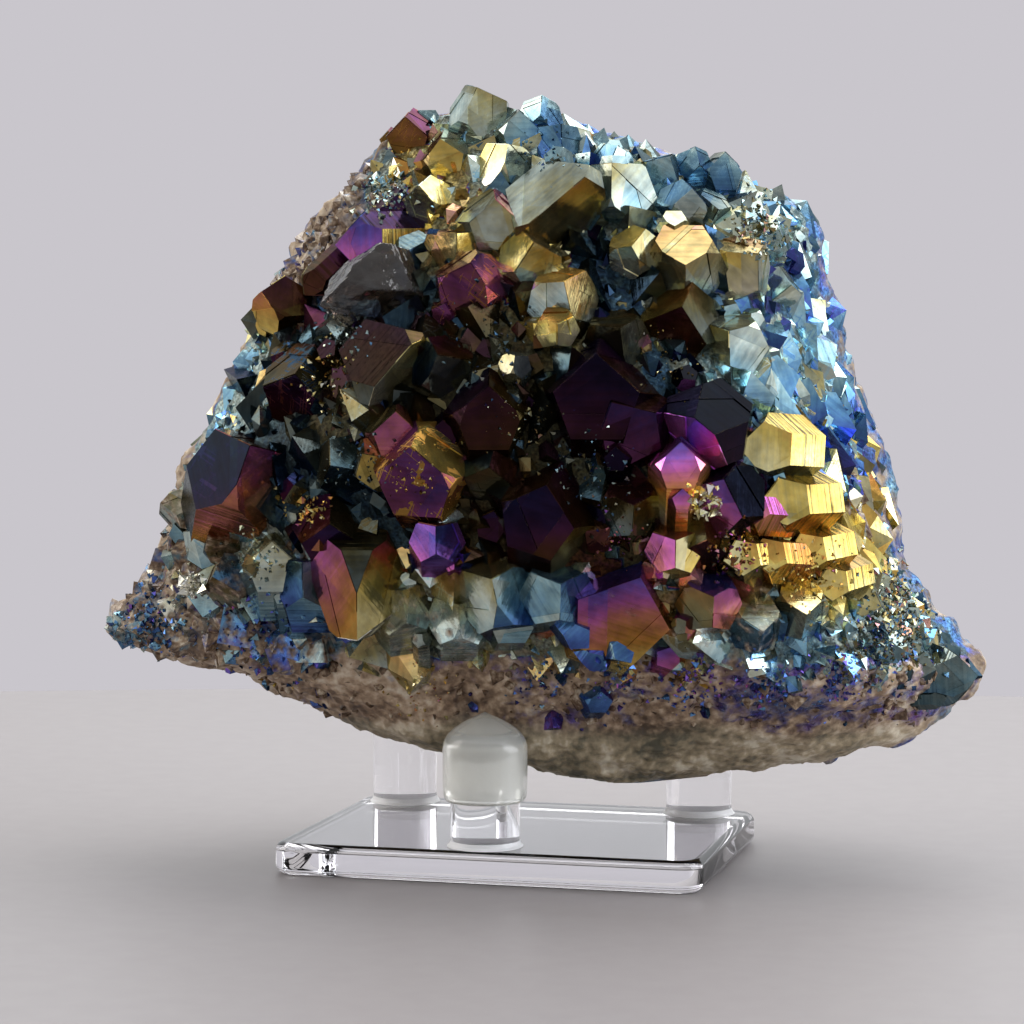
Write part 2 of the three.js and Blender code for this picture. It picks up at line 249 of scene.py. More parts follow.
def coatedQuartz(name, look):
    # Amethyst and smoky quartz with a vapour-deposited metal film: glassy facets that reflect like
    # metal, each hue set by the film's thickness, with growth lines across the crystal and dull
    # scuffs. Where the film is missing it is glossy brown or grey quartz.
    material, add = newMaterial(name)
    place = add("TexCoord").outputs["Object"]
    coat, shade, coated = [add("Attribute", attribute_name=label).outputs["Fac"]
                           for label in ("coat", "shade", "coated")]
    growth = add("Attribute", attribute_name="growth").outputs["Vector"]
    along, lined, wear = add("SeparateXYZ", [growth]).outputs
    wide, middle, fine = [add("TexNoise", {"Vector": place, "Scale": 1 / (size * mm), "Detail": detail})
                          for size, detail in look["clouds"]]
    # growth lines: a noise along the crystal's axis alone, real ones are finer than 0.1 mm
    lines = add("TexNoise", {"W": along, "Scale": 1 / look["lineGap"], "Detail": 2.5}, noise_dimensions="1D")
    centred = add("Math", [lines, 0.5], operation="SUBTRACT")
    stripes = add("Math", [centred, lined], operation="MULTIPLY")
    # straight scratches 0.1 to 0.2 mm wide: where a slow noise across a slant passes its middle
    hurt = 0.0
    for slant, gap in look["scratches"]:
        across = add("VectorMath", [place, slant], operation="DOT_PRODUCT").outputs["Value"]
        slow = add("TexNoise", {"W": across, "Scale": 1 / (gap * mm), "Detail": 0.5}, noise_dimensions="1D")
        crossing = add("Math", [slow, 0.5, look["scratch"]], operation="COMPARE")
        hurt = add("Math", [crossing, hurt], operation="MAXIMUM")
    broken = add("Math", [middle, look["broken"]], operation="GREATER_THAN")
    for share in (broken, wear):
        hurt = add("Math", [hurt, share], operation="MULTIPLY")
    # crumbs of other quartz stuck on worn facets
    cloud = add("Math", [middle, fine], operation="ADD")
    crumbs = add("Math", [cloud, look["crumb"]], operation="GREATER_THAN")
    crumbs = add("Math", [crumbs, wear], operation="MULTIPLY")
    hurt = add("Math", [hurt, crumbs], operation="MAXIMUM", use_clamp=True)
    # film thickness: the facet's own, drifting over 13 mm, mottled, stepped by the growth lines
    hue = coat
    for source, share in ((wide, look["drift"]), (fine, look["mottle"]), (stripes, look["lineShift"])):
        hue = add("Math", [source, share, hue], operation="MULTIPLY_ADD")
    middleHue = (look["drift"] + look["mottle"]) / 2
    hue = add("Math", [hue, middleHue], operation="SUBTRACT", use_clamp=True)
    hue = add("Mix", {0: hurt, 2: hue, 3: look["wornHue"]}, data_type="FLOAT")
    # how light the facet is: darker and lighter clouds, dark growth lines, bright scratches, times the
    # painted shading of each facet, which darkens or lightens it as the light it reflects would
    tone = add("MapRange", [middle, 0.3, 0.7, *look["tones"]])
    tone = add("Math", [stripes, look["lineTone"], tone], operation="MULTIPLY_ADD")
    # painted shading: each facet is darkened or lightened by its listed value, in place of the light it
    # reflects
    tone = add("Math", [tone, shade], operation="MULTIPLY")
    tone = add("Math", [hurt, look["wornTone"], tone], operation="MULTIPLY_ADD")
    quartz = add("MapRange", [cloud, 0.7, 1.3])
    quartz = add("ValToRGB", [quartz], look["quartz"])
    base, _, metal = filmOver(add, look, place, quartz, hue, tone, coated)
    rough = add("MapRange", [cloud, 0.8, 1.25, look["roughLow"], look["roughHigh"]])
    rough = add("Math", [hurt, look["wornRough"], rough], operation="MULTIPLY_ADD", use_clamp=True)
    relief = 0.0
    for source, share in zip((stripes, fine, middle, hurt), look["relief"]):
        relief = add("Math", [source, share, relief], operation="MULTIPLY_ADD")
    bump = add("Bump", {"Height": relief, "Strength": 0.55, "Distance": look["deep"] * mm})
    surface = add("BsdfPrincipled", {"Base Color": base, "Metallic": metal, "Roughness": rough,
                                     "Normal": bump, "Specular Tint": (0.5, 0.5, 0.5, 1.0)})
    add("OutputMaterial", [surface])
    return material


rockLook = {
    "clouds": ((8, 3.0), (1.2, 5.0), (0.45, 3.0)),  # mm across and detail: lumps, grains, sand
    "hueShare": 0.2, "paintedGlint": (0.35, 1.5), "patch": (2.2, 3.5), "patchEdge": (0.62, 0.92), "metal": 0.9,
    "rough": 0.8, "shine": (0.32, 0.30, 0.35), "bumps": (0.7, 0.4), "deep": 0.25,
    "matrix": [(0.1, "#574839"), (0.4, "#8A7660"), (0.65, "#AD9B84"), (0.95, "#D0C3AE")],
    "waxy": [(0.05, "#605C4C"), (0.35, "#90836A"), (0.65, "#B6A588"), (0.95, "#DACFB8")],
    "dark": [(0.1, "#574437"), (0.4, "#927961"), (0.65, "#C0A78C"), (0.95, "#E2D4BE")],
}


def agateRock(name, look):
    # The rind of the geode: grey-brown chalcedony, waxy and a little translucent, under a band of
    # dark brown druse that glints; the sides and back are rough sandy matrix with specks of film.
    material, add = newMaterial(name)
    place = add("TexCoord").outputs["Object"]
    rind, band, coat, shade, coated = [add("Attribute", attribute_name=label).outputs["Fac"]
                                       for label in ("rind", "band", "coat", "shade", "coated")]
    lumps, grains, sand = [add("TexNoise", {"Vector": place, "Scale": 1 / (size * mm), "Detail": detail})
                           for size, detail in look["clouds"]]
    cloud = add("Math", [lumps, grains], operation="ADD")
    tone = add("MapRange", [cloud, 0.66, 1.34])
    matrix = add("ValToRGB", [tone], look["matrix"])
    soft = add("Math", [grains, 0.7, lumps], operation="MULTIPLY_ADD")
    soft = add("MapRange", [soft, 0.62, 1.08])
    waxy = add("ValToRGB", [soft], look["waxy"])
    dark = add("ValToRGB", [tone], look["dark"])
    stone = add("Mix", {0: rind, 6: matrix, 7: waxy}, data_type="RGBA").outputs[2]
    stone = add("Mix", {0: band, 6: stone, 7: dark}, data_type="RGBA").outputs[2]
    hue = add("Math", [grains, look["hueShare"], coat], operation="MULTIPLY_ADD")
    hue = add("Math", [hue, look["hueShare"] / 2], operation="SUBTRACT")
    # painted glints: the painted shading is multiplied by a sand-sized noise from a third to one and a half,
    # as specks of film catching the light would look
    paintedGlint = add("MapRange", [sand, 0.35, 0.7, *look["paintedGlint"]])
    light = add("Math", [shade, paintedGlint], operation="MULTIPLY")
    base, mask, metal = filmOver(add, look, place, stone, hue, light, coated)
    shine = 0.0
    for source, share in zip((rind, band, mask), look["shine"]):
        shine = add("Math", [source, share, shine], operation="MULTIPLY_ADD")
    rough = add("Math", [look["rough"], shine], operation="SUBTRACT", use_clamp=True)
    relief = add("Math", [sand, 0.5, grains], operation="MULTIPLY_ADD")
    strength = add("MapRange", [rind, 0, 1, *look["bumps"]])
    bump = add("Bump", {"Height": relief, "Strength": strength, "Distance": look["deep"] * mm})
    surface = add("BsdfPrincipled", {
        "Base Color": base, "Metallic": metal, "Roughness": rough, "Normal": bump,
        "Subsurface Weight": 0.15, "Subsurface Radius": (1.0, 0.8, 0.5), "Subsurface Scale": 1.5 * mm,
    })
    add("OutputMaterial", [surface])
    return material


def clearBody(name, colour, index, roughness, clearness, density=0.0, absorbed="#FFFFFF", relief=0.0):
    # a clear or milky solid: transmission with its own index, colour from absorption inside it,
    # and waves 2.2 mm apart in its surface, as deep as the relief (mm)
    material, add = newMaterial(name)
    look = {"Base Color": linear(colour), "IOR": index, "Roughness": roughness,
            "Transmission Weight": clearness}
    if relief:
        place = add("TexCoord").outputs["Object"]
        waves = add("TexNoise", {"Vector": place, "Scale": 1 / (2.2 * mm), "Detail": 3.0})
        look["Normal"] = add("Bump", {"Height": waves, "Strength": 0.5, "Distance": relief * mm})
    body = {"Surface": add("BsdfPrincipled", look)}
    if density:
        body["Volume"] = add("VolumeAbsorption", {"Color": linear(absorbed), "Density": density})
    add("OutputMaterial", body)
    return material


def grained(name, size, detail, stops, roughness, metal=0.0):
    # one soft noise, its size in mm, runs through the colours
    material, add = newMaterial(name)
    place = add("TexCoord").outputs["Object"]
    noise = add("TexNoise", {"Vector": place, "Scale": 1 / (size * mm), "Detail": detail})
    colour = add("ValToRGB", [noise], stops)
    surface = add("BsdfPrincipled", {"Base Color": colour, "Metallic": metal, "Roughness": roughness})
    add("OutputMaterial", [surface])
    return material


filmOnCrystals = coatedQuartz("metal-coated quartz, crystals", crystalLook)
filmOnDruse = coatedQuartz("metal-coated quartz, fine druse", fineLook)
# crystal edges where the film is rubbed thin, and a painted highlight along every edge: a dull
# straw-coloured line, brighter in places, which the painted shading of dark facets does not reach
rubbedEdgesAndHighlight = grained("metal-coated quartz, rubbed edges and painted highlight", 2.5, 3.0,
                      [(0.35, "#2A241C"), (0.5, "#75674A"), (0.7, "#CDBE93")], 0.3, 0.8)
rockMaterial = agateRock("agate rind and sandy matrix", rockLook)
# glassy breaks over brown quartz; polished rod and plate; a hazy joint; rubber with a milky depth
smokyQuartz = clearBody("smoky quartz, broken", "#D4BDAA", 1.544, 0.06, 0.97, 80.0, "#6E5240", 0.5)
castAcrylic = clearBody("cast acrylic, polished", "#FDFDFF", 1.491, 0.0, 1.0)
castCement = clearBody("acrylic cement, set", "#FFFFFF", 1.49, 0.35, 0.35)
milkySilicone = clearBody("silicone rubber, milky", "#FDFEF8", 1.41, 0.14, 0.72, 3.0, "#E4E7DA", 0.12)


def addPiece(name, points, faces, material, nodeName="aura_quartz_cluster",
             corner=None, point=None, smooth=False):
    # a mesh in metres, with numbers for the materials at each face corner or each point
    mesh = bpy.data.meshes.new(name)
    mesh.from_pydata(np.asarray(points).tolist(), [], faces)
    for domain, values in (("CORNER", corner or {}), ("POINT", point or {})):
        for label, numbers in values.items():
            numbers = np.asarray(numbers, np.float32)
            kind, field = ("FLOAT_VECTOR", "vector") if numbers.ndim == 2 else ("FLOAT", "value")
            mesh.attributes.new(label, kind, domain).data.foreach_set(field, numbers.ravel())
    mesh.polygons.foreach_set("use_smooth", np.full(len(mesh.polygons), smooth))
    mesh.materials.append(material)
    mesh.update()
    piece = bpy.data.objects.new(name, mesh)
    bpy.context.scene.collection.objects.link(piece)
    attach(piece, "root")
    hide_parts(nodeName)
    print(name, len(faces), "faces")
    return piece


def gridFaces(rows, columns):
    # quads between neighbouring rings; the last column joins the first
    steps = np.arange(columns)
    row = np.arange(rows - 1)[:, None] * columns
    a, b = row + steps, row + (steps + 1) % columns
    return np.stack([a, b, b + columns, a + columns], axis=-1).reshape(-1, 4).tolist()


def poleFaces(ring, pole, flipped=False):
    # triangles from one point to each edge of a closed ring
    after = np.roll(ring, -1)
    edge = [after, ring] if flipped else [ring, after]
    return np.stack([np.full(len(ring), pole), *edge], axis=-1).tolist()


# Where each hue of the coating lies on the crystal face: across and height (mm), reach (mm), coat,
# spread of coat, painted shading (low in the hollows and crevices, where shade falls, and high where
# facets would catch the light), crystal width (mm), share coated, how much longer than wide.
zones = {
    "peak": (-6, 105, 5, 0.78, 0.05, 1.0, 4.2, 1, 1),
    "topTeal": (2, 102, 5, 0.71, 0.06, 0.75, 3.8, 1, 1),
    "topSlate": (11, 97, 5, 0.72, 0.07, 0.65, 4.2, 1, 1),
    "topSilver": (17, 97, 6, 0.77, 0.05, 0.8, 4.2, 1, 1),
    "topRight": (26, 94, 5, 0.72, 0.07, 0.7, 3.6, 1, 1),
    "topBlue": (21, 91, 5, 0.68, 0.05, 0.9, 3.2, 1, 1),
    "shoulderGold": (29, 91, 5, 0.76, 0.07, 0.9, 3.2, 1, 1),
    "shoulderSilver": (37, 89, 6, 0.73, 0.04, 1.1, 3.6, 1, 1.4),
    "shoulderIndigo": (34, 79, 2.5, 0.54, 0.04, 0.6, 3.6, 1, 1.3),
    "flankBlue": (40, 79, 5, 0.64, 0.04, 1.3, 3.2, 1, 1.6),
    "flankTeal": (34, 73, 5, 0.73, 0.05, 1.35, 3.4, 1, 1.7),
    "flankTealLow": (38, 67, 4, 0.69, 0.05, 1.35, 3.0, 1, 2),
    "flankAzure": (42, 62, 5, 0.63, 0.04, 1.3, 2.3, 1, 2.2),
    "flankViolet": (46, 56, 5, 0.55, 0.05, 1.35, 1.6, 0.95, 2),
    "flankBrown": (49, 50, 3, 0.50, 0.07, 0.5, 1.8, 0.4, 1.6),
    "goldEdge": (38, 51, 5, 0.15, 0.05, 0.95, 3.0, 1, 1.5),
    "goldLow": (41, 45, 6, 0.13, 0.06, 1.1, 2.8, 1, 1.6),
    "paleGold": (46, 42, 4, 0.10, 0.07, 1.2, 2.2, 1, 1.3),
    "slopeSilver": (50, 38, 5, 0.76, 0.09, 0.9, 1.5, 1, 1.2),
    "slopeBlue": (55, 33, 5, 0.70, 0.08, 0.8, 1.3, 1, 1.2),
    "tipTeal": (60, 29, 4, 0.67, 0.04, 0.35, 2.0, 0.9, 1.3),
    "lowSilver": (45, 33, 5, 0.74, 0.07, 1.1, 2.2, 0.8, 1.4),
    "lowBlue": (37, 33, 5, 0.69, 0.06, 1.25, 3.0, 0.7, 1.2),
    "lowSlate": (31, 33, 5, 0.74, 0.06, 1.15, 4.0, 0.75, 1.4),
    "ochre": (24, 32, 4, 0.88, 0.05, 1.5, 4.0, 0.7, 1.3),
    "oliveBrown": (15, 31, 4, 0.84, 0.05, 1.5, 3.4, 0.65, 1.1),
    "bladeBlue": (9, 32, 4, 0.65, 0.05, 1.2, 4.0, 0.75, 1.2),
    "lowOlive": (1, 35, 5, 0.8, 0.06, 1.5, 4.6, 0.8, 1.3),
    "lowOliveLeft": (-9, 34, 5, 0.81, 0.05, 1.4, 4.8, 0.75, 1.2),
    "oliveGold": (-17, 34, 5, 0.81, 0.05, 1.35, 4.4, 0.7, 1.2),
    "leftBlue": (-26, 34, 5, 0.67, 0.06, 1.22, 4.6, 0.55, 1.3),
    "leftViolet": (-31, 38, 4, 0.58, 0.06, 1.08, 3.6, 0.55, 1.2),
    "leftSilver": (-37, 41, 4, 0.77, 0.05, 1.15, 3.8, 0.9, 1),
    "leftBrownBlue": (-42, 37, 5, 0.60, 0.06, 0.68, 3.0, 0.42, 1.2),
    "leftTipBlue": (-51, 34, 4, 0.64, 0.06, 0.8, 1.3, 0.62, 1),
    "leftWhite": (-47, 37, 3, 0.0, 0.02, 0.8, 2.8, 0.55, 1),
    "leftEdgeSilver": (-39, 67, 3.4, 0.75, 0.05, 1.5, 2.2, 1, 1.3),
    "leftEdgeTeal": (-43, 60, 3, 0.71, 0.06, 1.4, 2.2, 1, 1.3),
    "leftEdgeLow": (-46, 52, 3, 0.74, 0.06, 0.6, 2.4, 0.7, 1.3),
    "leftMatrix": (-33, 84, 4, 0.60, 0.04, 0.8, 1.8, 0.45, 1.5),
    "leftMatrixTop": (-26, 93, 4, 0.60, 0.04, 0.8, 1.6, 0.4, 1.5),
    "upperLeftSilver": (-19, 94, 3, 0.76, 0.05, 0.95, 1.6, 1, 1),
    "upperGold": (-12, 95, 4, 0.14, 0.07, 1.15, 3.2, 1, 1),
    "upperGoldMid": (-3, 94, 4, 0.80, 0.10, 0.9, 3.4, 1, 1),
    "upperOlive": (-8, 86, 5, 0.84, 0.06, 1.05, 3.4, 1, 1.3),
    "goldMid": (0, 83, 4, 0.13, 0.07, 1.2, 3.4, 1, 1.3),
    "tealCrevice": (-12, 78, 4, 0.68, 0.06, 0.25, 4.4, 1, 1.3),
    "darkCrevice": (13, 79, 5, 0.64, 0.06, 0.12, 4.4, 1, 1.3),
    "oliveCrevice": (10, 75, 4, 0.84, 0.06, 0.8, 3.2, 1, 1.5),
    "silverCrevice": (19, 79, 4, 0.78, 0.06, 0.8, 3.6, 1, 1.3),
    "midDark": (-7, 74, 6, 0.84, 0.11, 0.12, 4.4, 1, 1.3),
    "leftGlitter": (-26, 72, 4, 0.70, 0.11, 0.26, 3.6, 1, 1.3),
    "leftGoldGlitter": (-25, 63, 4, 0.84, 0.08, 0.25, 3.6, 1, 1.3),
    "leftHollow": (-32, 60, 3.6, 0.68, 0.06, 0.1, 4.0, 1, 1.3),
    "leftDeep": (-22, 53, 5, 0.67, 0.11, 0.2, 4.4, 1, 1.3),
    "midDeep": (-4, 62, 6, 0.84, 0.11, 0.14, 4.4, 1, 1.3),
    "midGlitter": (9, 55, 5, 0.82, 0.11, 0.3, 3.6, 1, 1.3),
    "lowGlitter": (13, 50, 4, 0.86, 0.11, 0.25, 3.6, 1, 1.3),
    "lowDark": (-6, 47, 3.6, 0.86, 0.06, 0.2, 3.4, 1, 1.3),
    "lowDarkRight": (9, 46, 3, 0.30, 0.06, 0.14, 3.2, 1, 1.3),
    "rightDeep": (28, 45, 4, 0.28, 0.06, 0.13, 3.6, 1, 1.3),
    "pinkGold": (32, 55, 3, 0.30, 0.06, 0.7, 3.0, 1, 1.3),
}
zoneTable = np.array(list(zones.values()), float)


def zoneShares(across, height):
    # each zone's weight falls off with distance as a bell curve of its own reach
    apart = (across[:, None] - zoneTable[:, 0]) ** 2 + (height[:, None] - zoneTable[:, 1]) ** 2
    weight = np.exp(-apart / (2 * zoneTable[:, 2] ** 2)) + 1e-9 / (1 + apart)
    return weight / weight.sum(axis=1, keepdims=True)


# the stand: pegs by place and height, the plate, the cap over each peg (mm)
pegs = {"front": (-0.8, -16.8, 14.8), "back_left": (-22.6, 17.6, 19.8), "back_right": (22.1, 17.7, 19.8)}
plate = {"length": 60, "depth": 45, "thickness": 4.4, "corner": 3.5, "edge": 1.2}
peg = {"radius": 4.75, "lift": 0.02, "edge": 0.25}
cement = {"gap": 0.03, "foot": 0.55, "waist": (0.16, 0.35), "rise": 0.95, "soft": 0.12}
cap = {"radius": 5.8, "height": 12.2, "bore": 8.8, "shoulder": 8.6, "crown": 1.6, "gap": 0.2, "dome": 3.4,
       "seat": 0.3, "lip": 0.1, "flare": (0.35, 1.2), "taper": 0.6, "soft": 1.6}


def capBottom(height):
    # the cap's bore ends on the top of the peg, but for the gap
    return plate["thickness"] + height + cap["gap"] - cap["bore"]


def clearOfCaps(placed):
    # rock inside a cap's footprint is lifted to the cap's dome, as far as its seat in the frame
    for x, y, height in pegs.values():
        apart = np.hypot(placed[:, 0] / mm - x, placed[:, 1] / mm - y)
        reach = cap["radius"] + cap["seat"]
        crown = capBottom(height) + cap["height"] + cap["seat"]
        dome = crown - cap["dome"] * np.clip(apart / reach, 0, 1) ** 2
        low = (apart < reach) & (placed[:, 2] / mm < dome)
        placed[low, 2] = dome[low] * mm
    return placed


# the rock under the crystals, its rind and its rough back
rock = {"rows": 230, "columns": 360, "recess": 0.7, "rindTop": 20.0, "bandTop": 29.5, "keel": 1.2,
        "top": 1.5}


def wander(points):
    # how far (mm) the levels of the rind and the band rise and fall along the stone
    return softNoise(points, 9, 11) * 1.6


def rockSurface():
    # the body surface on a grid of rise and way round, moved along its normal: lumps, ridges and
    # sand at the back, soft lumps on the rind, grains under the crystals
    turn = np.arange(rock["columns"]) / rock["columns"]
    grids = np.meshgrid(np.linspace(0, 1, rock["rows"]), turn, indexing="ij")
    rise, around = [grid.ravel() for grid in grids]
    points = bodyPoint(rise, around)
    normal = bodyNormal(rise, around)
    height = points[:, 2]
    ragged = 0.012 * softNoise(points, 6, 13)
    face = smoothStep(0.0, 0.03, around + ragged)
    face = face * (1 - smoothStep(rightEdge - 0.045, rightEdge - 0.01, around + ragged))
    level = height + (wander(points) + softNoise(points, 3, 12) * 0.7)
    rind = (1 - smoothStep(rock["rindTop"] - 1.5, rock["rindTop"] + 1.5, level)) * face
    band = face * (1 - rind) * (1 - smoothStep(rock["bandTop"] - 1, rock["bandTop"] + 2, level))
    crystal = np.clip(face - rind - band, 0, 1)
    back = 1 - face
    grains = 0.5 - grainDistance(points, 1.5, 21)
    fineGrains = 0.5 - grainDistance(points, 0.9, 31)
    lumps = softNoise(points, 11, 41)
    ridges = 0.4 - np.abs(softNoise(points, 5, 42))
    pits = smoothStep(0.35, 0.8, softNoise(points, 4, 48))
    out = back * (1.5 * lumps + 1.7 * ridges + 0.7 * softNoise(points, 2, 43) + 0.4 * fineGrains)
    waves, sand = softNoise(points, 3, 44), softNoise(points, 1, 45)
    out += rind * (0.6 * lumps + 0.5 * waves + 0.25 * sand + 0.35 * fineGrains)
    out += band * (-0.3 + 0.5 * lumps + 0.7 * grains + 0.4 * fineGrains - 1.1 * pits)
    out += crystal * (-rock["recess"] + 0.8 * grains + 0.4 * fineGrains)
    points = points + normal * out[:, None]
    # each end is closed by a point past the middle of the last ring
    ring = points.reshape(rock["rows"], -1, 3)
    ends = [ring[0].mean(axis=0) - (0, 0, rock["keel"]), ring[-1].mean(axis=0) + (0, 0, rock["top"])]
    shares = zoneShares(points[:, 0], height)
    bare = (band > 0.5) | (rind > 0.5) | (back > 0.5)
    blueViolet = 0.53 + 0.07 * back + 0.07 * softNoise(points, 4, 47)
    coat = np.where(bare, blueViolet, zoneTable[shares.argmax(axis=1), 3])
    # painted shading: rock in the gaps between crystals is painted at about a third of its zones' value,
    # darker as a recess in shade would look; bare rind, band and back are painted at 0.8
    shade = np.where(bare, 0.8, (shares * zoneTable[:, 5]).sum(axis=1) * 0.35)
    # blue-violet patches on the band, more to the right; blue near the edges of the back
    rightward = smoothStep(-10, 50, points[:, 0])
    nearEdge = np.minimum(np.mod(1 - around, 1), np.abs(around - rightEdge))
    coated = crystal * (shares * zoneTable[:, 7]).sum(axis=1)
    coated += band * (0.30 + 0.25 * rightward + 0.2 * softNoise(points, 7, 49)) + rind * 0.08
    coated += back * (0.18 + 0.2 * softNoise(points, 6, 46) + 0.45 * (1 - smoothStep(0.0, 0.06, nearEdge)))
    values = {"rind": rind, "band": band, "coat": coat, "shade": shade, "coated": np.clip(coated, 0, 1)}
    return np.vstack([points, ends]), {label: np.append(v, v[[0, -1]]) for label, v in values.items()}


rockPoints, rockValues = rockSurface()
rockFaces = gridFaces(rock["rows"], rock["columns"])
rockRing = np.arange(rock["columns"])
rockFaces += poleFaces(rockRing, len(rockPoints) - 2, True)
rockFaces += poleFaces((rock["rows"] - 1) * rock["columns"] + rockRing, len(rockPoints) - 1)
addPiece("rock_body", clearOfCaps(toStand(rockPoints)), rockFaces, rockMaterial, point=rockValues,
         smooth=True)
